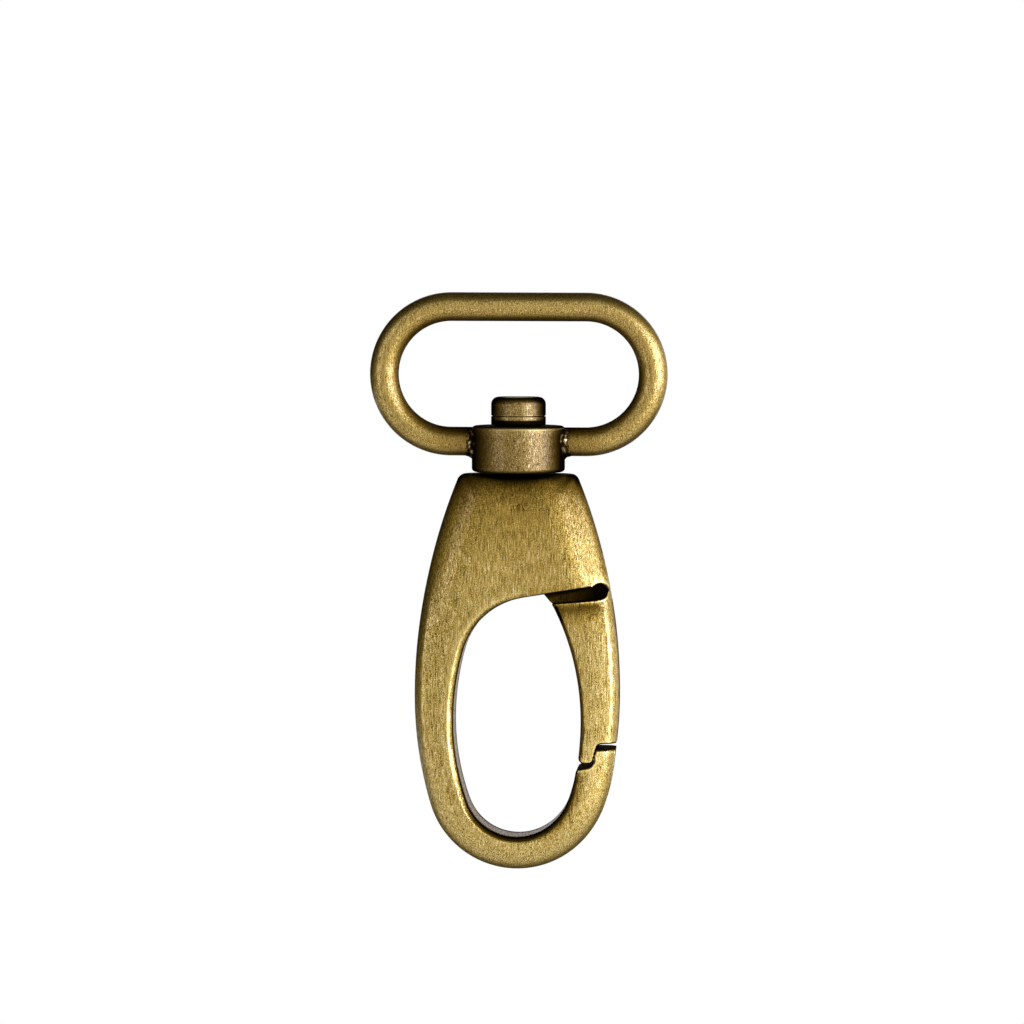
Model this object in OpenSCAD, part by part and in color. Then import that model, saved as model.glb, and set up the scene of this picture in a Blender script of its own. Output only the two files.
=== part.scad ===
// Swivel snap hook with an oval strap loop, a turning collar and a sprung gate.
// Millimetres, +Z up along the swivel axis, the front face looks towards -Y.
// The origin is the middle of the strap bar, where the strap pulls.

/* [Strap loop] */
// Width of the strap that the loop takes
strap_w = 25; // [18:0.5:40]
// Clear height inside the loop
loop_h = 11; // [10:0.5:20]
// Diameter of the loop's wire
wire_d = 3; // [2.6:0.1:3.4]
// Diameter of the spigot on each wire end
spigot_d = 2; // [1.2:0.1:2.4]
// Length of each spigot inside the collar
spigot_l = 1.6; // [0.8:0.1:2]
// Reach of the braze along the wire
braze_l = 0.8; // [0.4:0.1:1.4]
// Height of the braze above the wire
braze_h = 0.45; // [0.2:0.05:0.6]

/* [Swivel] */
// Outer diameter of the collar
collar_d = 9.7; // [9:0.1:12]
// Height of the collar
collar_h = 4.8; // [4:0.1:7]
// Height of the collar's top above the wire's axis
collar_rise = 1.65; // [1.4:0.05:2.2]
// Rounding of the collar's edges
collar_edge = 0.4; // [0.1:0.05:0.8]
// Diameter of the swivel pin's shank
shank_d = 4; // [3:0.1:4.4]
// Depth to which the shank is pressed into the hook
shank_seat = 6; // [4:0.1:6.5]
// Diameter of the swivel pin's head
head_d = 5.7; // [5.2:0.1:8]
// Height of the head
head_h = 2.6; // [2:0.1:4]
// Rounding of the head's top edge
head_edge = 0.75; // [0.2:0.05:1.2]
// Depth and width of the fine groove turned near the head's lower edge
groove_d = 0.12; // [0.05:0.01:0.3]
// Height of that groove above the head's lower edge
groove_up = 0.5; // [0.3:0.05:0.8]
// Radial running clearance of the shank in the collar
shank_clear = 0.06; // [0.03:0.01:0.1]
// Gap between the head and the collar
head_gap = 0.4; // [0.1:0.05:0.6]
// Gap between the collar and the hook
collar_gap = 0.2; // [0.1:0.05:0.4]

/* [Hook body] */
// Length of the hook from its flat top to its lowest point
body_l = 41.2; // [37:0.1:46]
// Greatest width of the hook
body_w = 21.3; // [21:0.1:26]
// Thickness of the hook
body_t = 6; // [5.8:0.1:8]
// Drop from the flat top to the widest place
widest_drop = 23; // [22:0.1:25]
// Radius of the upper flanks
flank_r = 60; // [52:1:90]
// Radius of the bottom
bottom_r = 9.4; // [9:0.1:9.8]
// Radius of the two top corners, seen from the front
corner_r = 0.9; // [0.5:0.1:1.5]
// Width of the soft bevel round the edge
rim_w = 1.3; // [0.6:0.1:1.5]
// Depth of the soft bevel
rim_drop = 1.6; // [0.8:0.1:1.8]
// Width of the rounded edge along the flat top
top_rim_w = 0.7; // [0.4:0.1:1.2]
// Depth of the rounded edge along the flat top
top_rim_drop = 0.85; // [0.5:0.05:1.4]

/* [Hook eye] */
// Greatest clear width of the eye
eye_w = 13.1; // [12:0.1:14]
// Drop from the flat top to the widest place of the eye
eye_drop = 25.7; // [25:0.1:27]
// Radius of the eye's upper flanks
eye_flank_r = 27; // [24:0.5:40]
// Radius of the eye's bottom
eye_bottom_r = 5.45; // [5:0.05:5.8]
// Height of the hook's web below the eye
web_h = 3.25; // [2.5:0.05:4]
// Radius of the arc between the left flank and the lip
eye_crown_r = 8; // [6:0.1:9]
// Drop from the flat top to the lip, on the swivel axis
lip_drop = 12.85; // [12.5:0.05:13.5]
// Slope of the lip towards the gate's outer side, in degrees
lip_slope = 8; // [5:0.5:10]
// Width of the rolled edge round the eye and the lip
edge_w = 0.4; // [0.2:0.05:0.6]
// Depth of the rolled edge
edge_drop = 0.5; // [0.25:0.05:0.8]

/* [Gate] */
// Distance of the gate's pivot from the swivel axis
pivot_x = 4.8; // [4.6:0.05:5]
// Drop from the flat top to the gate's pivot
pivot_drop = 10; // [9.8:0.05:10.2]
// Radius of the gate's inner side above the widest place of the eye
gate_inner_r = 24; // [22:0.5:27]
// Radius of the round end of the gap between the lip and the gate
notch_r = 0.75; // [0.6:0.05:0.85]
// Distance of that round end's centre from the hook's outline
notch_inset = 1.05; // [0.95:0.05:1.3]
// Slope of the gate's shoulder, in degrees
shoulder_slope = 4.5; // [2:0.5:6]
// Gap where the gate meets the hook above its outer edge
seam = 0.15; // [0.1:0.01:0.25]
// Drop from the widest place of the eye to the top of the hook's nose
nose_drop = 3.35; // [2.8:0.05:3.8]
// Gap between the nose and the outer step of the gate
nose_gap = 0.9; // [0.8:0.05:1.2]
// Length of the gate's tip below its outer step
tip_l = 2.1; // [1.6:0.1:2.4]
// Gap between the gate's tip and the seat behind the nose
seat_gap = 0.6; // [0.45:0.05:1]
// Gap between the tip's flank and the nose
flank_gap = 0.4; // [0.3:0.05:0.6]
// Distance of the nose's inner face from the swivel axis
nose_x = 8.2; // [8:0.05:8.4]
// Lean of the nose's inner face, from its top to the seat
nose_lean = 0.1; // [0:0.05:0.3]
// Fall of the seat towards the eye
seat_fall = 0.2; // [0:0.05:0.4]
// Lean of the tip's flank, from its end to the step
tip_lean = 0.35; // [0.2:0.05:0.4]
// Rounding of the nose's inner edge
nose_r = 0.2; // [0.1:0.05:0.3]
// Rounding at the back of the seat
seat_r = 0.55; // [0.3:0.05:0.8]
// Rounding inside the gate's step
step_r = 0.6; // [0.3:0.05:0.7]
// Rounding of the gate's tip
tip_r = 0.45; // [0.2:0.05:0.6]
// Thickness of the gate's tongue inside the slot
tongue_t = 3.5; // [3.2:0.1:3.8]
// Clearance of the tongue to each wall of the slot
tongue_clear = 0.15; // [0.1:0.05:0.25]
// Radius of the tongue round the pivot
tongue_r = 3.5; // [3.2:0.1:3.6]
// Room round the tongue in the slot
tongue_room = 0.5; // [0.45:0.05:0.7]
// Height of the tongue above the pivot at its outer side
tongue_top = 1.5; // [0.8:0.1:2]
// Setback of the tongue's outer side from the hook's outline
tongue_inset = 0.2; // [0.1:0.05:0.5]
// Diameter of the pivot pin
pin_d = 1.8; // [1.4:0.1:2]
// Radial running clearance of the gate on its pin
pin_clear = 0.05; // [0.02:0.01:0.1]
// Wall left over the pin's hole at the front
pin_skin = 0.5; // [0.35:0.05:0.7]
// Depth of the pin's end below the back face
pin_sink = 0.1; // [0:0.05:0.3]

/* [Gate spring] */
// Diameter of the spring wire
spring_d = 0.4; // [0.3:0.05:0.45]
// Mean diameter of the spring's coil
coil_d = 3; // [2.8:0.05:3.2]
// Number of turns
coil_turns = 3; // [2:1:3]
// Distance from one turn to the next
coil_pitch = 0.5; // [0.46:0.01:0.55]
// Clearance of the spring to the pieces round it
spring_clear = 0.15; // [0.1:0.05:0.2]
// Length of the leg inside the gate, below the pivot
gate_leg_l = 5.6; // [5:0.1:7]
// Depth of the fixed leg's seat in the roof of the slot
leg_seat_l = 0.9; // [0.6:0.1:1]

/* [Hidden] */
$fn = 96;
// Facets of the outline's large arcs, and sides of the spring's wire
fine = 256;
wire_sides = 8;
// Reach of a cut past the face that it cuts, and of construction pieces past the outline
over = 1;
reach = 2 * body_w;
// Slight angle in degrees at which two arcs of an outline cross, so that neither stops short
crease = 2;
bend = 1 - cos(crease);
// Finish of the castings, the drawn steel and the braze
brass = "#b0904c";
dark_brass = "#8a6d38";
steel = "#8f8f8c";

// Strap loop: a stadium whose upper bar lies on the X axis
loop_r = (loop_h + wire_d) / 2;
loop_half = strap_w / 2 + wire_d / 2 - loop_r;
wire_z = -2 * loop_r;
collar_r = collar_d / 2;

// Heights along the swivel axis
collar_top = wire_z + collar_rise;
collar_bottom = collar_top - collar_h;
head_bottom = collar_top + head_gap;
head_top = head_bottom + head_h;
body_top = collar_bottom - collar_gap;
body_bottom = body_top - body_l;

// Squared distance of the centres of a large arc and a small one inside it that cross at the crease
function centres_2(large, small) = (large - small) ^ 2 + 2 * large * small * bend;
// Radius of a flank that starts upright at a half width and runs into a round bottom further down
function low_arc(half, drop, r) = (half ^ 2 + drop ^ 2 - r ^ 2) / (2 * (half - r + r * bend));

// Outline of the hook: two flanks on each side, tangent at the widest place, and a round bottom
half_w = body_w / 2;
widest_y = body_top - widest_drop;
flank_x = flank_r - half_w;
bottom_y = body_bottom + bottom_r;
low_drop = widest_y - bottom_y;
low_r = low_arc(half_w, low_drop, bottom_r);
low_x = low_r - half_w;
bottom_end = bottom_r * [low_x, -low_drop] / norm([low_x, low_drop]);

// Outline of the eye
eye_half = eye_w / 2;
eye_y = body_top - eye_drop;
eye_x = eye_flank_r - eye_half;
eye_bottom_y = body_bottom + web_h + eye_bottom_r;
eye_low_drop = eye_y - eye_bottom_y;
eye_low_r = low_arc(eye_half, eye_low_drop, eye_bottom_r);
eye_low_x = eye_low_r - eye_half;
eye_bottom_end = eye_bottom_r * [eye_low_x, -eye_low_drop] / norm([eye_low_x, eye_low_drop]);
lip_y = body_top - lip_drop;
lip_dir = [cos(lip_slope), sin(lip_slope)];
lip_normal = [-sin(lip_slope), cos(lip_slope)];
// The crown's centre lies one crown radius below the lip and inside the left flank
crown_base = [0, lip_y] - eye_crown_r * (1 - bend) * lip_normal;
crown_b = (crown_base - [eye_x, eye_y]) * lip_dir;
crown_c = norm(crown_base - [eye_x, eye_y]) ^ 2 - centres_2(eye_flank_r, eye_crown_r);
crown = crown_base - (crown_b + sqrt(crown_b ^ 2 - crown_c)) * lip_dir;
crown_end = eye_crown_r * (crown - [eye_x, eye_y]) / norm(crown - [eye_x, eye_y]);

// Half width of the hook's upper outline, and of the gate's inner side, at a height
function outline_x(y) = sqrt(flank_r ^ 2 - (y - widest_y) ^ 2) - flank_x;
function inner_x(y) = sqrt(gate_inner_r ^ 2 - (y - eye_y) ^ 2) - gate_inner_r + eye_half;
function lip_at(x) = lip_y + x * tan(lip_slope);

// Gap between the lip and the gate, with its round end near the outer edge
notch_x = outline_x(lip_at(half_w)) - notch_inset;
notch = [notch_x, lip_at(notch_x) - notch_r / cos(lip_slope)];
shoulder_y = notch[1] - notch_r / cos(shoulder_slope);
function shoulder_at(x) = shoulder_y + (x - notch_x) * tan(shoulder_slope);
// The seam leaves the round end half way up
seam_y = notch[1] + notch_r / 2;

// Step between the gate's tip and the nose
nose_y = eye_y - nose_drop;
step_y = nose_y + nose_gap;
tip_y = step_y - tip_l;
seat_y = tip_y - seat_gap;
tip_x = nose_x - flank_gap;

// Gate pivot and the slot for its tongue
pivot = [pivot_x, body_top - pivot_drop];
slot_t = tongue_t + 2 * tongue_clear;
slot_r = tongue_r + tongue_room;
coil_rise = coil_turns * coil_pitch;
fork_t = coil_rise + spring_d + 2 * spring_clear;
coil_r = coil_d / 2;
fork_r = coil_r + spring_d / 2 + spring_clear;
leg_hole_d = spring_d + 2 * spring_clear;
roof = sqrt(slot_r ^ 2 - coil_r ^ 2);

// Radius of an arc that leaves a side wall smoothly and meets a face with a slight crease
function edge_r(w, d) = (w ^ 2 + d ^ 2) / (2 * w);

// Points of a path whose corners [x, y, radius] are rounded
function corner_arc(a, b, c, steps = 6) =
    let (
        u = ([a[0], a[1]] - [b[0], b[1]]) / norm([a[0] - b[0], a[1] - b[1]]),
        v = ([c[0], c[1]] - [b[0], b[1]]) / norm([c[0] - b[0], c[1] - b[1]]),
        half = acos(u * v) / 2,
        mid = (u + v) / norm(u + v),
        centre = [b[0], b[1]] + mid * b[2] / sin(half),
        turn = sign(u[0] * v[1] - u[1] * v[0]),
        sweep = 180 - 2 * half,
        away = atan2(-mid[1], -mid[0])
    )
    [for (i = [0:steps]) let (t = away + turn * (sweep / 2 - sweep * i / steps))
        centre + b[2] * [cos(t), sin(t)]];
function round_path(p) = [for (i = [0:len(p) - 1])
    let (a = p[(i + len(p) - 1) % len(p)], b = p[i], c = p[(i + 1) % len(p)])
    each (b[2] == 0 ? [[b[0], b[1]]] : corner_arc(a, b, c))];

// Front view drawn in X and Y, and thickness along Z, stood up so that the front looks to -Y
module upright() {
    rotate([90, 0, 0])
        children();
}

// Half section of a disc of radius r with a bevelled rim
module rim_section(r, w, d) {
    arc = edge_r(w, d);
    translate([0, -body_t / 2])
        square([r - w, body_t]);
    translate([r - w - over, d - body_t / 2])
        square([w + over, body_t - 2 * d]);
    intersection() {
        translate([r - w, -body_t / 2])
            square([w, body_t]);
        for (side = [-1, 1])
            translate([r - arc, side * (body_t / 2 - d)])
                circle(arc);
    }
}

// Half section of a cut of radius r whose edges roll over onto both faces
module roll_section(r, w, d) {
    arc = edge_r(w, d);
    translate([0, -body_t / 2 - over])
        square([r, body_t + 2 * over]);
    for (side = [0, 1])
        mirror([0, side])
            difference() {
                translate([r - over, body_t / 2 - d])
                    square([over + w, d + over]);
                translate([r + arc, body_t / 2 - d])
                    circle(arc);
            }
}

module rim_disc(centre, r) {
    translate(centre)
        rotate_extrude($fn = fine)
            rim_section(r, rim_w, rim_drop);
}

module roll_disc(centre, r) {
    translate(centre)
        rotate_extrude($fn = fine)
            roll_section(r, edge_w, edge_drop);
}

// Straight cut along a line from a point, reaching depth to the line's right
module roll_line(from, slope, length, depth, w = edge_w, d = edge_drop) {
    translate(from)
        rotate(slope)
            rotate([90, 0, 90])
                linear_extrude(length)
                    translate([-depth, 0])
                        roll_section(depth, w, d);
}

// Slab through the whole thickness with the given front view
module through() {
    linear_extrude(body_t + 2 * over, center = true)
        children();
}

// Everything on the right of the line from one point to another
module right_of(from, to) {
    along = reach * (to - from) / norm(to - from);
    side = [along[1], -along[0]];
    through()
        polygon([from - along, to + along, to + along + side, from - along + side]);
}

// Hook outline with its bevelled edge, before the eye and the gate are cut
module blank_upper() {
    difference() {
        intersection() {
            translate([-body_w, widest_y])
                through()
                    square([2 * body_w, widest_drop + over]);
            rim_disc([flank_x, widest_y], flank_r);
            rim_disc([-flank_x, widest_y], flank_r);
        }
        roll_line([body_w, body_top], 180, 2 * body_w, 2 * over, top_rim_w, top_rim_drop);
    }
}

module blank_lower() {
    end_y = bottom_y + bottom_end[1];
    intersection() {
        translate([-body_w, body_bottom - over])
            through()
                square([2 * body_w, widest_y - body_bottom + over]);
        rim_disc([low_x, widest_y], low_r);
        rim_disc([-low_x, widest_y], low_r);
        union() {
            rim_disc([0, bottom_y], bottom_r);
            right_of([bottom_end[0], end_y], [-bottom_end[0], end_y]);
        }
    }
}

// What rounds off a top corner, seen from the front
module corner_cut() {
    tip = [outline_x(body_top), body_top, corner_r];
    low = body_top - 2 * corner_r;
    difference() {
        polygon([[0, body_top + over], [half_w + over, body_top + over], [half_w + over, low],
            [outline_x(low), low], [tip[0], tip[1]], [0, body_top]]);
        polygon(round_path([[0, body_top, 0], [0, low, 0], [outline_x(low), low, 0], tip]));
    }
}

module blank() {
    difference() {
        union() {
            blank_upper();
            blank_lower();
        }
        through() {
            corner_cut();
            mirror([1, 0])
                corner_cut();
        }
    }
}

// Side of the eye that the hook itself forms, with rolled edges: flank, crown and lip, then the bottom
module eye() {
    end_y = eye_bottom_y + eye_bottom_end[1];
    intersection() {
        translate([-body_w, eye_y])
            through()
                square([body_w + notch_x, eye_drop]);
        roll_disc([eye_x, eye_y], eye_flank_r);
        roll_line([-reach, lip_at(-reach)], lip_slope, 2 * reach, body_l);
        union() {
            roll_disc(crown, eye_crown_r);
            right_of(crown + crown_end, crown + eye_crown_r * lip_normal);
        }
    }
    intersection() {
        translate([-body_w, body_bottom])
            through()
                square([2 * body_w, eye_y - body_bottom]);
        roll_disc([eye_low_x, eye_y], eye_low_r);
        roll_disc([-eye_low_x, eye_y], eye_low_r);
        union() {
            roll_disc([0, eye_bottom_y], eye_bottom_r);
            right_of([eye_bottom_end[0], end_y], [-eye_bottom_end[0], end_y]);
        }
    }
}

// Side of the eye that the closed gate forms, with rolled edges
module gate_side() {
    intersection() {
        translate([-body_w, eye_y])
            through()
                square([2 * body_w, body_l]);
        roll_disc([eye_half - gate_inner_r, eye_y], gate_inner_r);
    }
    intersection() {
        translate([-body_w, body_bottom])
            through()
                square([2 * body_w, eye_y - body_bottom]);
        roll_disc([-eye_low_x, eye_y], eye_low_r);
    }
}

// Front view of the room for the gate in the hook, from the lip and the seam down to the nose
module gate_room() {
    polygon(round_path([
        [eye_half - edge_w, lip_at(eye_half) - notch_r, 0],
        [notch[0], notch[1], 0],
        [notch[0], seam_y, 0],
        [body_w, seam_y, 0],
        [body_w, nose_y, 0],
        [nose_x, nose_y, nose_r],
        [nose_x - nose_lean, seat_y, seat_r],
        [0, seat_y - seat_fall, 0],
        [0, eye_y, 0],
    ]));
}

// Round end of the gap between the lip and the gate
module notch_bore() {
    translate(notch)
        cylinder(r = notch_r, h = body_t + 2 * over, center = true);
}

// Front view of the gate's full thickness, from its shoulder to its tip
module gate_front() {
    polygon(round_path([
        [0, shoulder_at(0), 0],
        [notch[0], shoulder_y, 0],
        [notch[0], seam_y - seam, 0],
        [body_w, seam_y - seam, 0],
        [body_w, step_y, 0],
        [tip_x + tip_lean, step_y, step_r],
        [tip_x, tip_y, tip_r],
        [0, tip_y, 0],
    ]));
}

// Tongue of the gate, round at the pivot and close behind the hook's outline outside it
module tongue() {
    foot_y = shoulder_at(0) - over;
    intersection() {
        union() {
            translate(pivot)
                cylinder(r = tongue_r, h = tongue_t, center = true);
            linear_extrude(tongue_t, center = true)
                polygon([
                    pivot,
                    pivot + [0, tongue_top],
                    [body_w, pivot[1] + tongue_top],
                    [body_w, foot_y],
                    [inner_x(foot_y), foot_y],
                    [inner_x(shoulder_y), shoulder_y],
                ]);
        }
        translate([-flank_x, widest_y])
            cylinder(r = flank_r - tongue_inset, h = body_t, center = true, $fn = fine);
    }
}

// Slot in the hook for the tongue, open towards the eye and the outer side
module slot() {
    translate(pivot)
        cylinder(r = slot_r, h = slot_t, center = true);
    linear_extrude(slot_t, center = true)
        polygon([
            pivot,
            pivot + [0, tongue_top + tongue_room],
            [body_w, pivot[1] + tongue_top + tongue_room],
            [body_w, shoulder_y],
            [pivot[0], shoulder_y],
        ]);
}

// Hole along the hook's thickness at the pivot, from its depth at the back to its depth in front
module pivot_bore(d, back, front) {
    translate([pivot[0], pivot[1], -back])
        cylinder(d = d, h = back + front);
}

// Revolved body about the swivel axis from a half section drawn in radius and height
module turned() {
    rotate_extrude()
        children();
}

// Quarter round that a turned edge loses, at the given radius and height
module edge_loss(r, y, e, up) {
    translate([r - e, y - up * e])
        difference() {
            translate([0, up > 0 ? 0 : -e - over])
                square([e + over, e + over]);
            circle(e);
        }
}

module wire_half() {
    rotate([90, 0, 0]) {
        translate([loop_half, -loop_r])
            rotate_extrude(angle = 180, start = -90)
                translate([loop_r, 0])
                    circle(d = wire_d);
    }
    rotate([0, 90, 0])
        cylinder(d = wire_d, h = loop_half);
    difference() {
        translate([0, 0, wire_z])
            rotate([0, 90, 0])
                cylinder(d = wire_d, h = loop_half);
        translate([0, 0, collar_bottom - over])
            cylinder(r = collar_r, h = collar_h + 2 * over);
    }
    translate([collar_r - spigot_l, 0, wire_z])
        rotate([0, 90, 0])
            cylinder(d = spigot_d, h = spigot_l + over);
}

module strap_ring() {
    color(brass)
        for (side = [0, 1])
            mirror([side, 0, 0])
                wire_half();
}

// Ring of braze round the wire, its foot on the collar and its top cut level with the collar's top
module braze_half() {
    foot = collar_r - sqrt(collar_r ^ 2 - (wire_d / 2 + braze_h) ^ 2);
    // Share of the height and the reach where the braze is hollow
    hollow = 0.4;
    intersection() {
        difference() {
            translate([collar_r - foot, 0, wire_z])
                rotate([0, 90, 0])
                    rotate_extrude()
                        polygon([
                            [0, 0],
                            [wire_d / 2 + braze_h, 0],
                            [wire_d / 2 + braze_h * hollow, foot + braze_l * hollow],
                            [wire_d / 2, foot + braze_l],
                            [0, foot + braze_l],
                        ]);
            translate([0, 0, wire_z])
                rotate([0, 90, 0])
                    cylinder(d = wire_d, h = strap_w);
            translate([0, 0, collar_bottom - over])
                cylinder(r = collar_r, h = collar_h + 2 * over);
        }
        translate([0, -collar_r, collar_bottom])
            cube([strap_w, collar_d, collar_h - collar_edge]);
    }
}

module braze_fillets() {
    color(dark_brass)
        for (side = [0, 1])
            mirror([side, 0, 0])
                braze_half();
}

module swivel_collar() {
    color(brass)
        difference() {
            turned()
                difference() {
                    translate([shank_d / 2 + shank_clear, collar_bottom])
                        square([collar_r - shank_d / 2 - shank_clear, collar_h]);
                    edge_loss(collar_r, collar_top, collar_edge, 1);
                    edge_loss(collar_r, collar_bottom, collar_edge, -1);
                }
            for (side = [0, 1])
                mirror([side, 0, 0])
                    translate([collar_r - spigot_l, 0, wire_z])
                        rotate([0, 90, 0])
                            cylinder(d = spigot_d, h = spigot_l + over);
        }
}

module swivel_pin() {
    color(brass)
        turned() {
            translate([0, body_top - shank_seat])
                square([shank_d / 2, head_bottom + over - body_top + shank_seat]);
            difference() {
                translate([0, head_bottom])
                    square([head_d / 2, head_h]);
                edge_loss(head_d / 2, head_top, head_edge, 1);
                translate([head_d / 2 - groove_d, head_bottom + groove_up])
                    square([over, groove_d]);
            }
        }
}

module hook_body() {
    color(brass)
        difference() {
            upright()
                difference() {
                    blank();
                    eye();
                    notch_bore();
                    through()
                        gate_room();
                    slot();
                    pivot_bore(pin_d, body_t, body_t / 2 - pin_skin);
                    translate([pivot[0] + coil_r, pivot[1] + roof, coil_rise / 2])
                        cube([leg_hole_d, 2 * leg_seat_l, leg_hole_d], center = true);
                }
            translate([0, 0, body_top - shank_seat])
                cylinder(d = shank_d, h = shank_seat + over);
        }
}

module gate() {
    color(brass)
        upright()
            difference() {
                union() {
                    difference() {
                        intersection() {
                            blank();
                            through()
                                gate_front();
                        }
                        notch_bore();
                    }
                    tongue();
                }
                gate_side();
                pivot_bore(pin_d + 2 * pin_clear, body_t, body_t);
                translate(pivot)
                    cylinder(r = fork_r, h = fork_t, center = true);
                translate([pivot[0] - slot_r, pivot[1], -fork_t / 2])
                    cube([slot_r + fork_r, slot_r, fork_t]);
                translate([pivot[0] + coil_r, pivot[1], -coil_rise / 2])
                    rotate([90, 0, 0])
                        cylinder(d = leg_hole_d, h = gate_leg_l + spring_clear);
            }
}

module gate_pin() {
    color(steel)
        upright()
            pivot_bore(pin_d, body_t / 2 - pin_sink, body_t / 2 - pin_skin);
}

// Centre line of the spring: the fixed leg, the turns, and the leg in the gate
function spring_path() =
    let (
        per_turn = 16,
        rings = coil_turns * per_turn
    )
    concat(
        [[coil_r, roof + leg_seat_l - spring_clear, coil_rise / 2]],
        [for (i = [0:rings]) let (t = -360 * i / per_turn)
            [coil_r * cos(t), coil_r * sin(t), coil_rise / 2 - coil_rise * i / rings]],
        [[coil_r, -gate_leg_l, -coil_rise / 2]]
    );

// One ring of points round the wire, square to the spring's axis plane
function wire_ring(path, i, sides) =
    let (
        ahead = path[min(i + 1, len(path) - 1)] - path[max(i - 1, 0)],
        along = ahead / norm(ahead),
        side = cross(along, [0, 0, 1]) / norm(cross(along, [0, 0, 1])),
        other = cross(side, along)
    )
    [for (k = [0:sides - 1]) let (t = 360 * k / sides)
        path[i] + spring_d / 2 * (side * cos(t) + other * sin(t))];

// Closed tube through the points of a path
module tube(path, sides) {
    rings = len(path);
    points = [for (i = [0:rings - 1]) each wire_ring(path, i, sides)];
    walls = [for (i = [0:rings - 2]) for (k = [0:sides - 1])
        let (
            a = i * sides + k,
            b = i * sides + (k + 1) % sides
        )
        each [[a, b, b + sides], [a, b + sides, a + sides]]];
    caps = [
        [for (k = [sides - 1:-1:0]) k],
        [for (k = [0:sides - 1]) (rings - 1) * sides + k]
    ];
    polyhedron(points, concat(walls, caps));
}

module gate_spring() {
    color(steel)
        upright()
            translate(pivot)
                tube(spring_path(), wire_sides);
}

strap_ring();
braze_fillets();
swivel_collar();
swivel_pin();
hook_body();
gate();
gate_pin();
gate_spring();
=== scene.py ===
"""Looks of the swivel snap hook: antique brass, brushed upright and lacquered, under soft studio light.

Objects are in metres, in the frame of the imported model. Outlines are drawn in millimetres as seen from
the front, with x to the right and z up.
"""

import math

import bmesh
import bpy
import numpy as np
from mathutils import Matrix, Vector, kdtree, noise
from mathutils.geometry import delaunay_2d_cdt


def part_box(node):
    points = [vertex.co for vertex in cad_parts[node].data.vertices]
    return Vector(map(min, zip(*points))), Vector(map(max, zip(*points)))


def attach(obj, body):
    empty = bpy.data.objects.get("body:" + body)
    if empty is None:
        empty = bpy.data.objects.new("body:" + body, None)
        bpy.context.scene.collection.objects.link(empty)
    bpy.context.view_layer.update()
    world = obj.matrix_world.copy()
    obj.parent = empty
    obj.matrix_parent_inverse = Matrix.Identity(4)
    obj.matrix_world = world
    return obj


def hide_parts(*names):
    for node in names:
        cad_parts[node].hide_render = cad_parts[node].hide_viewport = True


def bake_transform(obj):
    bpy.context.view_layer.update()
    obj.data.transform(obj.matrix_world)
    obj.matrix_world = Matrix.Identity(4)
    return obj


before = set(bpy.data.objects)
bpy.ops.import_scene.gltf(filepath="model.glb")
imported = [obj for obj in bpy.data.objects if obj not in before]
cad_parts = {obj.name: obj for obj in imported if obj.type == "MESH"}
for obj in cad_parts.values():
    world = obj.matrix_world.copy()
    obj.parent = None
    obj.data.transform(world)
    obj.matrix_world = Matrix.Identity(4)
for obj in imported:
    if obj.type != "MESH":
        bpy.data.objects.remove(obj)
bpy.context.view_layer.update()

MM = 0.001


def node_box(node):
    """Lowest and highest corner of a CAD node, in millimetres."""
    low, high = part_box(node)
    return np.array(low) / MM, np.array(high) / MM


RING_LOW, RING_HIGH = node_box("strap_ring")
COLLAR_LOW, COLLAR_HIGH = node_box("swivel_collar")
PIN_LOW, PIN_HIGH = node_box("swivel_pin")
BODY_LOW, BODY_HIGH = node_box("hook_body")

# Strap loop: round wire bent to a stadium whose upper bar lies on the X axis
WIRE_R = RING_HIGH[1]
LOOP_R = (RING_HIGH[2] - RING_LOW[2]) / 2 - WIRE_R
LOOP_HALF = RING_HIGH[0] - WIRE_R - LOOP_R
WIRE_Z = -2 * LOOP_R

# Swivel
COLLAR_R = COLLAR_HIGH[0]
COLLAR_EDGE = 0.4
SHANK_R = 2.0
SHANK_CLEAR = 0.06
SHANK_SEAT = 6.02
PRESS = 0.01
HEAD_R = PIN_HIGH[0]
HEAD_GAP = 0.1
HEAD_EDGE = 0.75
GROOVE_D = 0.12
GROOVE_UP = 0.85

# Hook outline
BODY_TOP = BODY_HIGH[2]
BODY_BOTTOM = BODY_LOW[2]
BODY_T = BODY_HIGH[1] - BODY_LOW[1]
HALF_W = -BODY_LOW[0]
WIDEST_Z = BODY_TOP - 23
FLANK_R = 60.0
FLANK_X = FLANK_R - HALF_W
BOTTOM_R = 9.4
CORNER_R = 0.9
SWELL = 0.2
SWELL_Z = BODY_TOP - 33
SWELL_REACH = 3.2
# How far right of the middle a change from left to right is complete
FULL_RIGHT = 6.0

# Eye
EYE_HALF = 6.62
EYE_Z = BODY_TOP - 25.7
EYE_FLANK_R = 27.0
EYE_BOTTOM_R = 5.45
WEB_H = 3.4
CROWN_R = 8.0
LIP_Z = BODY_TOP - 12.85
LIP_SLOPE = 9.2
GATE_INNER_R = 26.5
GATE_HALF = 6.7

# Gap between the lip and the gate, and the step between the gate's tip and the nose
NOTCH_R = 0.74
NOTCH_END_R = 0.85
NOTCH_INSET = 0.82
SHOULDER_SLOPE = 4.5
SEAM = 0.02
NOSE_Z = EYE_Z - 2.85
STEP_Z = NOSE_Z + 0.66
TIP_Z = STEP_Z - 2.1
SEAT_Z = TIP_Z - 0.32
NOSE_X = 8.2
TIP_X = 7.86
TIP_LEAN = 0.62

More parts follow.
